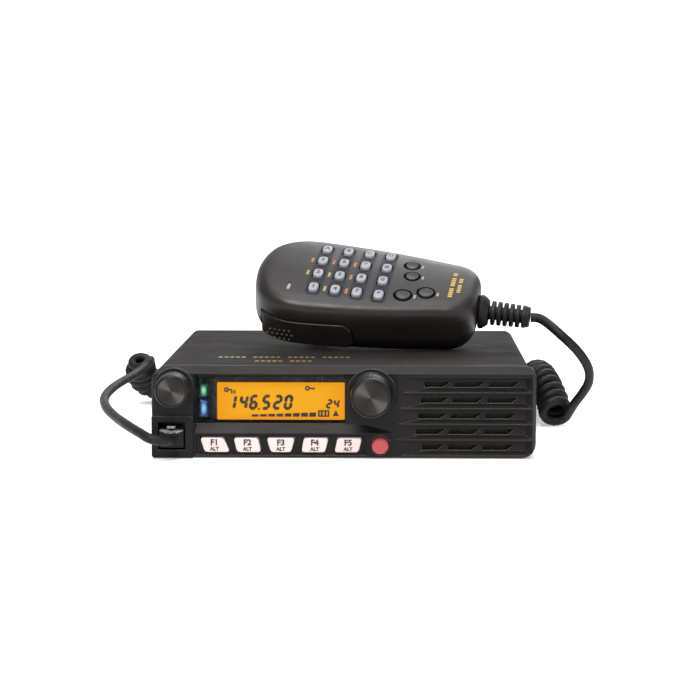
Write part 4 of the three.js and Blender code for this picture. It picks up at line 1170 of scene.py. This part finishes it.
class TRANSCEIVER_OT_display(bpy.types.Operator):
    """Makes the amber display with its digits, the light bars and the clear window"""

    bl_idname = "transceiver.display"
    bl_label = "Display and window"

    def execute(self, context):
        self.add_display()
        for name, node, finish_name, slot in (
            ("green_light", "indicator_green", "green", "green_indicator"),
            ("blue_light", "indicator_blue", "blue", "blue_indicator"),
        ):
            low, high = box_mm(node)
            shape = rounded(low.x, high.x, low.z, high.z, 0.5)
            mesh = plate(name, shape, -high.y, -low.y, 0.25, FRONT_MATRIX)
            stand_in(name, node, mesh, "radio", finish_name)
        low, high = box_mm("display_window")
        corners = [(low.x + 4.5, low.z), (high.x, low.z), (high.x, high.z), (low.x, high.z)]
        corners.append((low.x, low.z + 1.6))
        shape = rounded_polygon(corners, 0.9)
        mesh = plate("window", shape, -high.y, -low.y, 0.2, FRONT_MATRIX)
        stand_in("clear_window", "display_window", mesh, "radio", "window")
        return {"FINISHED"}

    @staticmethod
    def add_display():
        low, high = box_mm("display_panel")
        front = -low.y
        glass = plate("glass", rounded(-51.0, 0.2, 15.2, 30.2, 0.4), front - 1.4, front, 0.1, FRONT_MATRIX)
        outline = rounded(low.x, high.x, low.z, high.z, 0.6)
        holder = plate("holder", outline, -high.y, front - 1.45, 0.1, FRONT_MATRIX)
        # A dark sheet hides the green board beside the display.
        board = -box_mm("control_board")[0].y
        outline = rounded(-60, 0.6, 14.3, 32.5, 0.3)
        mask = plate("mask", outline, board + 0.1, board + 0.6, 0.1, FRONT_MATRIX)
        new_piece("display_mask", mask, "radio", "recess")
        mesh = painted([(glass, "amber"), (holder, "recess")])
        stand_in("lit_display", "display_panel", mesh, "radio", None)
        ink = []
        for text, x in zip("146520", (-47.25, -42.55, -38.5, -33.45, -28.85, -24.55)):
            ink += digit(text, x, 19.15, 3.5, sizes().digit_height / MM, 1.25, front)
        ink.append(inked(rounded(-34.6, -33.8, 19.1, 19.9, 0.15, 2), front))
        for text, x in (("2", -7.4), ("4", -4.5)):
            ink += digit(text, x, 19.7, 2.4, 3.9, 0.85, front)
        ink += TRANSCEIVER_OT_display.icons(front)
        new_piece("display_digits", merged("digits", ink), "radio", "display_ink")
        bars = level_bars_tree().grown(
            FRONT_MATRIX @ Matrix.Translation((-35.75, 16.4, front + INK_PROUD / 2)), "display_ink",
            Bars=8, Pitch=3.3, Width=2.75, First=0.9, Growth=0.12,
        )
        new_piece("display_bars", bars, "radio", "display_ink")

    @staticmethod
    def icons(front):
        """Small signs round the display's digits: two rings with a bar, a box and an arrow."""
        drawn = []
        sides = 16
        for x, z, reach in ((-14.6, 27.95, 3.0), (-47.2, 27.3, 2.2)):
            ring = circle(x, z, 1.05, sides) + circle(x, z, 0.32, sides)
            points = [(*point, depth) for depth in (front, front + INK_PROUD) for point in ring]
            faces = []
            for first, second in ((0, 1), (2, 3), (0, 2), (1, 3)):
                faces += band(first * sides, second * sides, sides)
            drawn.append(mesh_of("ring", points, faces, FRONT_MATRIX))
            drawn.append(inked(rounded(x + 0.8, x + reach, z - 0.33, z + 0.33, 0.1, 2), front))
        for x in (-45.4, -44.3):
            drawn.append(inked(rounded(x, x + 0.7, 25.7, 27.2, 0.1, 2), front))
        drawn.append(inked(rounded(-12.3, -11.9, 27.2, 28.0, 0.1, 2), front))
        for x0, x1, z0, z1 in (
            (-10.4, -9.7, 16.4, 19.1), (-6.5, -5.8, 16.4, 19.1), (-9.7, -6.5, 16.4, 17.0),
            (-9.7, -6.5, 18.5, 19.1), (-9.3, -8.5, 17.0, 18.5), (-7.8, -7.0, 17.0, 18.5),
        ):
            drawn.append(inked(rounded(x0, x1, z0, z1, 0.05, 1), front))
        drawn.append(inked([(-4.6, 16.7), (-1.9, 16.7), (-3.2, 19.1)], front))
        return drawn


class TRANSCEIVER_OT_knobs(bpy.types.Operator):
    """Turns the volume knob and the large dial"""

    bl_idname = "transceiver.knobs"
    bl_label = "Knobs"

    def execute(self, context):
        self.add_knob("volume_knob", "volume_face", 6.7, 7.2, 1.5)
        self.add_knob("dial_knob", "dial_face", 8.0, 9.0, 1.1)
        return {"FINISHED"}

    @staticmethod
    def add_knob(node, face_finish, radius, skirt, base):
        centre = front_middle(node)
        reach = -box_mm(node)[0].y
        bore = 3.3
        rim = radius - 0.25
        side = [
            (0, reach - 4), (bore, reach - 4), (bore, base + 4), (radius - 1.6, base + 4),
            (radius - 1.6, base), (skirt - 0.3, base), (skirt, base + 0.3), (skirt, base + 1.7),
            (skirt - 0.35, base + 2.1), (radius + 0.35, base + 2.5), (radius + 0.25, base + 3.2),
            (radius, reach - 1.3), (radius - 0.06, reach - 0.75), (rim, reach - 0.3),
            (rim - 0.25, reach - 0.06), (rim - 0.45, reach), (rim - 0.6, reach - 0.05),
            (rim - 0.7, reach - 0.24), (rim - 0.8, reach - 0.26),
        ]
        face = [(rim - 0.85, reach - 0.18), (rim - 1.0, reach - 0.12), (rim - 1.4, reach - 0.1)]
        face += [(rim * share, reach - 0.14) for share in (0.6, 0.4, 0.2)]
        face.append((0, reach - 0.14))
        flutes = TRANSCEIVER_OT_knobs.flutes(base, reach)
        mesh = turned(node, side + face, centre, FRONT_MATRIX, 128, flutes)
        mesh.materials.append(finish("knob"))
        mesh.materials.append(finish(face_finish))
        limit = (rim - 0.84) * MM
        middle = FRONT_MATRIX @ Vector((*centre, reach))
        for polygon in mesh.polygons:
            away = Vector((polygon.center.x - middle.x, 0, polygon.center.z - middle.z)).length
            if away < limit and abs(polygon.center.y - middle.y) < 0.3 * MM:
                polygon.material_index = 1
        dimple = circle(centre[0] + 0.1, centre[1] + rim * 0.62, 0.8, 24)
        dot = plate("dimple", dimple, reach - 0.3, reach - 0.05, 0.12, FRONT_MATRIX, 2)
        stand_in(node + "_turned", node, smooth(mesh, 40), node, None)
        new_piece(node + "_dot", dot, node, "recess")

    @staticmethod
    def flutes(base, reach):
        """Fine straight grooves along the grip."""

        def reach_at(angle, radius, along):
            if base + 3.0 < along < reach - 1.0:
                return radius - 0.16 * (0.5 + 0.5 * math.cos(angle * 32))
            return radius

        return reach_at


KEY_HALF = 9.7 / 2  # half a function key's width, halfway up
# How far each function key's left and right sides lean inwards, from its foot to its head.
KEY_SLANTS = ((1.8, 2.6), (1.4, 1.3), (1.6, -1.4), (-1.0, -1.3), (-1.3, -1.4))


class TRANSCEIVER_OT_panel_keys(bpy.types.Operator):
    """Makes the five function keys with generic legends, and the red power button"""

    bl_idname = "transceiver.panel_keys"
    bl_label = "Panel keys"

    def execute(self, context):
        for number, (left, right) in enumerate(KEY_SLANTS, 1):
            node = f"function_key_{number}"
            low, high = box_mm(node)
            middle = (low.x + high.x) / 2
            foot, head = low.z, high.z
            shape = rounded_polygon(
                [
                    (middle - KEY_HALF + left / 2, foot),
                    (middle + KEY_HALF + right / 2, foot),
                    (middle + KEY_HALF - right / 2, head),
                    (middle - KEY_HALF - left / 2, head),
                ],
                1.3,
                5,
            )
            cap = plate(node, shape, -high.y, -low.y, 0.5, FRONT_MATRIX, 4)
            parts = [(cap, "white_key")]
            for text, size, up, bold in ((f"F{number}", 3.3, 1.0, 0.15), ("ALT", 2.0, -1.6, 0.11)):
                place = Matrix.Translation((middle, (foot + head) / 2 + up, -low.y))
                parts.append((lettering(text, size, FRONT_MATRIX @ place, bold=bold), "key_ink"))
            mesh = painted(parts)
            stand_in(f"function_cap_{number}", node, mesh, node, None)
        self.add_power_button()
        return {"FINISHED"}

    @staticmethod
    def add_power_button():
        low, high = box_mm("power_button")
        radius = (high.x - low.x) / 2
        front, back = -low.y, -high.y
        profile = [(0, back), (radius - 0.6, back), (radius, back + 1.4), (radius, front - 1.1)]
        for step in range(1, 7):
            angle = math.pi / 2 * step / 6
            profile.append((radius - 1.1 * (1 - math.cos(angle)), front - 1.1 * (1 - math.sin(angle))))
        profile += [(radius * 0.5, front - 0.06), (0, front - 0.1)]
        mesh = smooth(turned("power", profile, front_middle("power_button"), FRONT_MATRIX, 64), 50)
        stand_in("power_cap", "power_button", mesh, "power_button", "power")


class TRANSCEIVER_OT_connections(bpy.types.Operator):
    """Makes the microphone socket, and the sockets, fan and screws of the rear and sides"""

    bl_idname = "transceiver.connections"
    bl_label = "Sockets, fan and screws"

    def execute(self, context):
        socket = softened("mic_socket", 0.1 * MM)
        stand_in("socket_body", "mic_socket", socket, "radio", "socket")
        contacts = dash_row_tree().grown(
            LAYOUT_MATRIX @ Matrix.Translation((-71.2, 6.4, 5.2)), "gold",
            Dashes=5, Pitch=1.1, Length=0.45, Height=5.0,
        )
        new_piece("plug_contacts", contacts, "radio", "gold")
        self.add_antenna_socket()
        self.add_fan()
        self.add_screws()
        for name, node, finish_name, slot in (
            ("jack_body", "speaker_jack", "nickel", "nickel"),
            ("gland_body", "dc_lead_gland", "rubber", "black_rubber"),
        ):
            stand_in(name, node, softened(node, 0.2 * MM), "radio", finish_name)
        return {"FINISHED"}

    @staticmethod
    def add_antenna_socket():
        low, high = box_mm("antenna_socket")
        centre = front_middle("antenna_socket")
        seat, end = CHASSIS_DEPTH, high.y
        back = Matrix(((-1, 0, 0, 0), (0, 0, 1, 0), (0, 1, 0, 0), (0, 0, 0, 1)))
        matrix = LAYOUT_MATRIX @ back
        half = 19 / 2
        x, z = -centre[0], centre[1]
        outline = rounded(x - half, x + half, z - half, z + half, 2)
        flange = plate("flange", outline, seat + 0.05, seat + 2.2, 0.3, matrix)
        profile = [(0, low.y), (7.6, low.y), (7.6, seat + 2.4)]
        thread = seat + 2.6
        while thread < end - 1.0:
            profile += [(7.45, thread), (7.9, thread + 0.45), (7.45, thread + 0.9)]
            thread += 0.95
        profile += [(7.4, end - 0.3), (7.1, end), (5.4, end), (5.3, end - 1.2), (2.3, end - 1.2)]
        profile += [(2.2, end), (1.95, end), (1.95, seat + 2), (0, seat + 2)]
        barrel = smooth(turned("barrel", profile, (x, z), matrix, 64), 40)
        mesh = painted([(flange, "nickel"), (barrel, "nickel")])
        stand_in("antenna_body", "antenna_socket", mesh, "radio", None)

    @staticmethod
    def add_fan():
        for name, node, body, edge in (
            ("fan_housing", "fan_frame", "radio", 0.3 * MM),
            ("fan_wheel", "fan_rotor", "fan_rotor", 0.15 * MM),
        ):
            stand_in(name, node, softened(node, edge), body, "dark")
        x, z = front_middle("fan_frame")
        place = LAYOUT_MATRIX @ Matrix.Translation((x, box_mm("fan_frame")[1].y + 0.5, z))
        turn = Matrix.Rotation(math.pi / 2, 4, "X") @ Matrix.Rotation(math.pi / 4, 4, "Z")
        guard = ring_guard_tree().grown(place @ turn, "steel", Rings=4, Inner=4.0, Step=3.2, Wire=0.5)
        new_piece("fan_guard", smooth(guard, 60), "radio", "steel")

    @staticmethod
    def add_screws():
        """Pan-head screws with a cross recess."""
        for number in range(1, 5):
            node = f"cover_screw_{number}"
            low, high = box_mm(node)
            right = high.x > 0
            seat = abs((CHASSIS_HIGH.x if right else CHASSIS_LOW.x) - LAYOUT.x) / MM
            outward = 1 if right else -1
            turn = Matrix(((0, 0, outward, 0), (outward, 0, 0, 0), (0, 1, 0, 0), (0, 0, 0, 1)))
            centre = ((low.y + high.y) / 2 * outward, (low.z + high.z) / 2)
            crown = abs(high.x if right else low.x)
            profile = [(0, seat - 4), (1.3, seat - 4), (1.3, seat + 0.05), (2.6, seat + 0.06)]
            profile += [(2.55, crown - 0.5), (2.1, crown - 0.16), (1.2, crown), (0, crown)]
            head = smooth(turned("screw", profile, centre, LAYOUT_MATRIX @ turn, 32), 40)
            slots = []
            for spin in (0, 90):
                place = Matrix.Translation((*centre, 0)) @ Matrix.Rotation(math.radians(spin + 20), 4, "Z")
                shape = rounded(-1.5, 1.5, -0.28, 0.28, 0.1, 2)
                slots.append(plate("slot", shape, crown - 0.55, crown + 0.4, 0, LAYOUT_MATRIX @ turn @ place))
            mesh = smooth(carve(head, [slots[0]], [slots[1]]), 35)
            stand_in(f"screw_{number}", node, mesh, "radio", "black_screw")


# ---------------------------------------------------------------- the microphone
MIC_SPLIT = -16.5
MIC_CROWN = 0.003
MIC_TOP = (-20.0, 6.4, 21.0)
MIC_END = (42.0, 6.4, 13.5)
MIC_BULGE = 41.5
MIC_BELLY = 1.5
SHELL_MIDDLE = 8  # the u of the middle of both case halves


def microphone_outline(distance, steps=28):
    """The microphone's plan, drawn in by a distance: a bulging top end and a narrower cord end."""
    top_u, top_v, top_r = MIC_TOP
    end_u, end_v, end_r = MIC_END
    lean = math.atan2(end_v - top_v, end_u - top_u)
    lean += math.acos((top_r - end_r) / math.hypot(end_u - top_u, end_v - top_v))
    bulge_u = top_u + math.sqrt((MIC_BULGE - top_r) ** 2 - top_v**2)
    turn = math.pi - math.atan2(top_v, bulge_u - top_u)
    arcs = [
        (end_u, -end_v, end_r, -lean, 0, steps),
        (end_u, end_v, end_r, 0, lean, steps),
        (top_u, top_v, top_r, lean, turn, steps),
        (bulge_u, 0, MIC_BULGE, turn, 2 * math.pi - turn, steps),
        (top_u, -top_v, top_r, 2 * math.pi - turn, 2 * math.pi - lean, steps),
    ]
    points = []
    for u, v, radius, start, end, count in arcs:
        for i in range(count):
            angle = start + (end - start) * i / (count - 1)
            point = (u + (radius - distance) * math.cos(angle), v + (radius - distance) * math.sin(angle))
            if not points or math.dist(point, points[-1]) > 0.01:
                points.append(point)
    # The long straight sides get points of their own, so that no face is very long.
    even = []
    for here, beyond in zip(points, points[1:] + points[:1]):
        pieces = 1 + int(math.dist(here, beyond) / 3)
        for i in range(pieces):
            share = i / pieces
            even.append((here[0] + (beyond[0] - here[0]) * share, here[1] + (beyond[1] - here[1]) * share))
    return [bellied(u, v) for u, v in even]


def bellied(u, v):
    """Swells the long sides a little between the corners."""
    share = min(1, max(0, (u - MIC_TOP[0]) / (MIC_END[0] - MIC_TOP[0])))
    return u, v + math.copysign(MIC_BELLY * 4 * share * (1 - share), v)


def crown_at(v, share=1.0):
    return -MIC_CROWN * v * v * share


def microphone_shell(name, levels, bend, shrink=(0.8, 0.6, 0.4, 0.2)):
    """Stacks the microphone's plan into a closed body, then draws its last level in to a point."""
    rings = []
    for distance, w in levels:
        rings.append([(u, v, bend(v, w)) for u, v in microphone_outline(distance)])
    last_distance, last_w = levels[-1]
    outline = microphone_outline(last_distance)
    for scale in shrink:
        drawn = [(SHELL_MIDDLE + (u - SHELL_MIDDLE) * scale, v * scale) for u, v in outline]
        rings.append([(u, v, bend(v, last_w)) for u, v in drawn])
    count = len(rings[0])
    if any(len(ring) != count for ring in rings):
        raise RuntimeError(f"{name}: its levels have different numbers of points")
    points = [point for ring in rings for point in ring]
    faces = []
    for level in range(len(rings) - 1):
        faces += band(level * count, (level + 1) * count, count)
    points.append((SHELL_MIDDLE, 0, bend(0, last_w)))
    top = (len(rings) - 1) * count
    faces += [(top + i, top + (i + 1) % count, len(points) - 1) for i in range(count)]
    faces.append(list(range(count)))
    return mesh_of(name, points, faces, MIC_MATRIX)


def smooth_levels(levels, step=0.7):
    return [(max(point.x, 0), point.y) for point in through([(a, b, 0) for a, b in levels], step)]


def front_bend(v, w):
    return w + crown_at(v, 1 - w / MIC_SPLIT)


def flat_bend(_, w):
    return w


# Each level of a case half: how far its outline is drawn in, and its w.
FRONT_LEVELS = [
    (0, MIC_SPLIT), (0, -11), (0.2, -6), (0.9, -3.2), (2.2, -1.4), (4, -0.5), (6.5, -0.1), (10, 0),
]
REAR_LEVELS = [(0, MIC_SPLIT - 0.3), (0.3, -18.4), (1.4, -21.2), (3.6, -23.8), (6.5, -25.4), (10, -26.2)]
# The u, v and radius of the four round keys.
PROGRAM_KEYS = ((24.2, -13, 3.8), (33.6, -9.6, 3.8), (25.8, 1.4, 3.4), (24.4, 10.1, 3.4))
KEY_NAMES = ("123a", "456b", "789c", "s0hd")
KEY_NODES = {"s": "star", "h": "hash"}
KEY_SIGNS = {"s": "*", "h": "#"}


COLUMN_PITCH, ROW_PITCH = 9.4, 10.15


def key_place(column, row):
    """The u and v of a number key's middle."""
    return (column - 1.5) * COLUMN_PITCH, (row - 1.5) * ROW_PITCH


def key_holes(depth):
    """Cutters for the number keys' holes, down to a depth."""
    holes = []
    for column in range(4):
        for row in range(4):
            u, v = key_place(column, row)
            shape = rounded(u - 2.65, u + 2.65, v - 3.4, v + 3.4, 1.8)
            holes.append(plate("hole", shape, -depth, 3, 0, MIC_MATRIX))
    return holes


class TRANSCEIVER_OT_microphone(bpy.types.Operator):
    """Makes the microphone's two case halves, the talk bar, the hanger stud and the bend protector"""

    bl_idname = "transceiver.microphone"
    bl_label = "Microphone"

    def execute(self, context):
        self.add_front_case()
        self.add_rear_case()
        self.add_talk_bar()
        self.add_bend_protector()
        return {"FINISHED"}

    @staticmethod
    def talk_bar_room():
        """The opening for the talk bar, through the near wall of both case halves."""
        shape = [(-36.1, -22.2), (4.0, -22.2), (6.0, -18.6), (5.0, -13.2), (1.0, -10.0), (-36.1, -10.8)]
        return plate("room", shape, 16.5, 45, 0, MIC_MATRIX @ STANDING)

    @staticmethod
    def cord_way():
        """The hole for the bend protector, at the cord end."""
        return plate("way", circle(0, CORD_W, 4.7), 46, 62, 0, MIC_MATRIX @ ENDWISE)

    def add_front_case(self):
        outer = microphone_shell("front", smooth_levels(FRONT_LEVELS), front_bend)
        hollow_levels = [(2, MIC_SPLIT - 1), (2.2, -5), (3, -3), (4.5, -2)]
        hollow = microphone_shell("hollow", hollow_levels, front_bend)
        holes = [plate("sound", rounded(-25.6, -24, -18, -13.4, 0.75), -6, 2, 0, MIC_MATRIX), *key_holes(6)]
        for u, v, radius in PROGRAM_KEYS:
            holes.append(plate("hole", circle(u, v, radius + 0.35), -6, 3, 0, MIC_MATRIX))
        mesh = smooth(carve(outer, [hollow], [self.talk_bar_room()], [self.cord_way()], holes), 30)
        stand_in("microphone_front", "mic_front_case", mesh, "microphone", "microphone")
        self.add_key_strips()
        self.add_marks()

    @staticmethod
    def add_key_strips():
        """Dark strips that the keys stand in, one to a column, bent with the case."""
        half_wide, half_long, corner, steps = 3.35, 19.4, 1.6, 24
        strips = []
        for column in range(4):
            middle = key_place(column, 0)[0]
            shape = []
            for side, ends in ((1, range(steps + 1)), (-1, range(steps, -1, -1))):
                for i in ends:
                    v = half_long * (2 * i / steps - 1)
                    near_end = max(0, 1 - (half_long - abs(v)) / corner)
                    shape.append((middle + side * (half_wide - 1.2 * near_end**2), v))
            points = []
            for w, share in ((-0.6, 1), (0.0, 1), (0.07, 1 - 0.12 / half_wide)):
                points += [(middle + (u - middle) * share, v, crown_at(v) + w) for u, v in shape]
            count = len(shape)
            faces = band(0, count, count) + band(count, 2 * count, count)
            last = count - 1
            for base in (0, 2 * count):
                for i in range(steps):
                    faces.append((base + i, base + i + 1, base + last - 1 - i, base + last - i))
            strips.append(mesh_of("strip", points, faces, MIC_MATRIX))
        mesh = smooth(carve(merged("strips", strips), key_holes(4)), 30)
        new_piece("key_strips", mesh, "microphone", "strip")

    @staticmethod
    def add_marks():
        """Printed marks beside the keys, near the cord end and by the talk bar's corner."""
        rows = dash_row_tree()

        def row(u, v, tone, dashes, pitch, long, tall):
            place = Matrix.Translation((u, v, 0.06)) @ Matrix.Rotation(math.pi / 2, 4, "Z")
            mesh = rows.grown(place, tone, Dashes=dashes, Pitch=pitch, Length=long, Height=tall)
            for vertex in mesh.vertices:
                vertex.co.z += crown_at(vertex.co.y)
            mesh.transform(MIC_MATRIX)
            return mesh

        gold = [
            row(43.9, -10.2, "gold", 12, 1.35, 0.95, 1.8),
            row(47.0, -6.6, "gold", 8, 1.25, 0.85, 1.6),
        ]
        new_piece("gold_marks", merged("gold_marks", gold), "microphone", "gold")
        beside_keys = {
            "orange": ((0, 2), (1, 2), (2, 2), (2, 1), (2, 0)),
            "yellow": ((0, 1), (1, 1), (1, 0)),
        }
        for tone, keys in beside_keys.items():
            marks = []
            for column, line in keys:
                u, v = key_place(column, line)
                marks.append(row(u - 4.6, v - 0.8, f"{tone}_ink", 3, 1.15, 0.85, 1.1))
            new_piece(f"{tone}_marks", merged(f"{tone}_marks", marks), "microphone", f"{tone}_ink")
        white = [row(u + radius + 1.3, v - 1, "white_ink", 2, 1.2, 0.9, 0.9) for u, v, radius in PROGRAM_KEYS]
        new_piece("white_marks", merged("white_marks", white), "microphone", "white_ink")
        lens = plate("lens", rounded(-25.5, -24.1, -17.9, -13.5, 0.65), -1.6, -0.9, 0.1, MIC_MATRIX)
        new_piece("call_lens", lens, "microphone", "grey_key")

    def add_rear_case(self):
        levels = smooth_levels(REAR_LEVELS)
        outer = microphone_shell("rear", levels, flat_bend)
        hollow_levels = [(2, MIC_SPLIT + 1), (3, -20.4), (6, -23.2), (10, -24)]
        hollow = microphone_shell("hollow", hollow_levels, flat_bend)
        mesh = smooth(carve(outer, [hollow], [self.talk_bar_room()], [self.cord_way()]), 30)
        stand_in("microphone_back", "mic_rear_case", mesh, "microphone", "microphone")
        tip = (MIC_MATRIX.inverted() @ self.mount("microphone_hanger_stud")).z
        profile = [(0, -26), (4, -26), (4, tip + 2.6), (5.6, tip + 2.4)]
        profile += [(6, tip + 2.1), (6, tip + 0.3), (5.7, tip), (0, tip)]
        stud = smooth(turned("stud", profile, (-14, 3), MIC_MATRIX, 64), 40)
        new_piece("hanger_stud", stud, "microphone", "nickel")

    @staticmethod
    def mount(name):
        return Vector(next(m["pos_m"] for m in frame["record"]["mounts"] if m["name"] == name))

    @staticmethod
    def add_talk_bar():
        bar = softened("ptt_bar", 0.45 * MM, 3)
        stand_in("talk_bar", "ptt_bar", bar, "ptt_bar", "microphone")
        near = min((MIC_MATRIX.inverted() @ v.co).y for v in bar.vertices)
        place = Matrix.Translation((-26.3, near + 0.35, -18.0)) @ Matrix.Rotation(math.radians(-3.0), 4, "Z")
        dots = dot_field_tree().grown(
            MIC_MATRIX @ place @ STANDING, "grip",
            Columns=8, Rows=5, Pitch=sizes().dot_pitch / MM, Radius=0.5, Half_width=5.4, Half_height=3.4,
        )
        new_piece("grip_dots", smooth(dots, 80), "ptt_bar", "grip")

    @staticmethod
    def add_bend_protector():
        start = MIC_END[0] + MIC_END[2] + 0.2
        length_u, waist, tip, ribs = 22.0, 5.3, 4.9, 6
        core = sizes().cord_diameter / 2 / MM + 0.9
        profile = [(0, start - 4), (4.2, start - 4), (4.2, start), (7.0, start + 0.1), (7.4, start + 0.8)]
        profile += [(7.2, start + 1.8), (6.4, start + 3.0), (5.7, start + 3.8), (waist + 0.2, start + 4.2)]
        first = start + 4.4
        step = (length_u - 4.4) / (ribs + 0.6)
        for i in range(ribs):
            radius = waist + (tip - waist) * i / (ribs - 1)
            near, far = first + i * step + step * 0.35, first + (i + 1) * step
            profile += [(core, first + i * step), (core, near), (radius - 0.3, near), (radius, near + 0.3)]
            profile += [(radius, far - 0.3), (radius - 0.3, far)]
        profile += [(tip - 0.4, start + length_u - 0.4), (tip - 0.9, start + length_u), (0, start + length_u)]
        mesh = smooth(turned("protector", profile, (0, CORD_W), MIC_MATRIX @ ENDWISE, 56), 40)
        stand_in("bend_protector", "mic_strain_relief", mesh, "microphone", "rubber")


class TRANSCEIVER_OT_keypad(bpy.types.Operator):
    """Makes the sixteen keys with their signs, and the four round keys"""

    bl_idname = "transceiver.keypad"
    bl_label = "Keypad"

    def execute(self, context):
        for column, names in enumerate(KEY_NAMES):
            for row, name in enumerate(names):
                self.add_key(column, row, name)
        for number, (u, v, radius) in enumerate(PROGRAM_KEYS, 1):
            self.add_round_key(number, u, v, radius)
        return {"FINISHED"}

    @staticmethod
    def add_key(column, row, name):
        u, v = key_place(column, row)
        base = crown_at(v)
        tilt = Matrix.Rotation(math.atan(-2 * MIC_CROWN * v), 4, "X")
        place = MIC_MATRIX @ Matrix.Translation((u, v, base)) @ tilt
        cap = plate("key", rounded(-2.15, 2.15, -2.8, 2.8, 1.75, 6), -4.4, 1.15, 0.8, place, 4)
        top = place @ Matrix.Translation((0, 0, 1.15))
        sign = lettering(KEY_SIGNS.get(name, name.upper()), 3.3, top, 0.06, 0.1)
        mesh = painted([(cap, "grey_key"), (sign, "key_ink")])
        node = f"mic_key_{KEY_NODES.get(name, name)}"
        stand_in(f"keycap_{KEY_NODES.get(name, name)}", node, mesh, node, None)

    @staticmethod
    def add_round_key(number, u, v, radius):
        base = crown_at(v)
        reach = radius - 0.55
        profile = [(0, base - 5), (2, base - 5), (2, base - 2.4), (reach, base - 2.4), (reach, base - 0.05)]
        for step in range(1, 6):
            angle = math.pi / 2 * step / 5
            profile.append((reach - 0.45 * (1 - math.cos(angle)), base - 0.05 + 0.4 * math.sin(angle)))
        profile += [(radius * 0.6, base + 0.28), (radius * 0.3, base + 0.2), (0, base + 0.18)]
        mesh = smooth(turned("round_key", profile, (u, v), MIC_MATRIX, 48), 50)
        node = f"program_key_{number}"
        stand_in(f"round_key_{number}", node, mesh, node, "microphone")


class TRANSCEIVER_OT_inside(bpy.types.Operator):
    """Gives the parts inside the radio and the microphone their finishes"""

    bl_idname = "transceiver.inside"
    bl_label = "Inside parts"

    def execute(self, context):
        for node, finish_name in (
            ("control_board", "board"),
            ("main_board", "board"),
            ("mic_board", "board"),
            ("power_module", "steel"),
            ("volume_control", "steel"),
            ("dial_encoder", "steel"),
            ("speaker", "dark"),
        ):
            mesh = frame["nodes"][node].data
            mesh.materials.clear()
            mesh.materials.append(finish(finish_name))
        return {"FINISHED"}


# ---------------------------------------------------------------- the add-on
STEPS = (
    "stage", "cord", "body", "panel", "display", "knobs",
    "panel_keys", "connections", "microphone", "keypad", "inside",
)


class TRANSCEIVER_PT_panel(bpy.types.Panel):
    """Lists the pieces and their sizes"""

    bl_idname = "TRANSCEIVER_PT_panel"
    bl_label = "Mobile transceiver"
    bl_space_type = "VIEW_3D"
    bl_region_type = "UI"
    bl_category = "Transceiver"

    def draw(self, context):
        for step in STEPS:
            self.layout.operator(f"transceiver.{step}")
        for group in (context.scene.transceiver_sizes, context.scene.transceiver_colours):
            box = self.layout.box()
            for name in group.bl_rna.properties.keys():
                if name not in ("rna_type", "name"):
                    box.prop(group, name)


CLASSES = (
    TransceiverSizes,
    TransceiverColours,
    TRANSCEIVER_OT_stage,
    TRANSCEIVER_OT_cord,
    TRANSCEIVER_OT_body,
    TRANSCEIVER_OT_panel,
    TRANSCEIVER_OT_display,
    TRANSCEIVER_OT_knobs,
    TRANSCEIVER_OT_panel_keys,
    TRANSCEIVER_OT_connections,
    TRANSCEIVER_OT_microphone,
    TRANSCEIVER_OT_keypad,
    TRANSCEIVER_OT_inside,
    TRANSCEIVER_PT_panel,
)


def register():
    for item in CLASSES:
        bpy.utils.register_class(item)
    bpy.types.Scene.transceiver_sizes = bpy.props.PointerProperty(type=TransceiverSizes)
    bpy.types.Scene.transceiver_colours = bpy.props.PointerProperty(type=TransceiverColours)


def unregister():
    del bpy.types.Scene.transceiver_colours
    del bpy.types.Scene.transceiver_sizes
    for item in reversed(CLASSES):
        bpy.utils.unregister_class(item)


def main():
    register()
    for step in STEPS:
        getattr(bpy.ops.transceiver, step)()


if __name__ == "__main__":
    main()
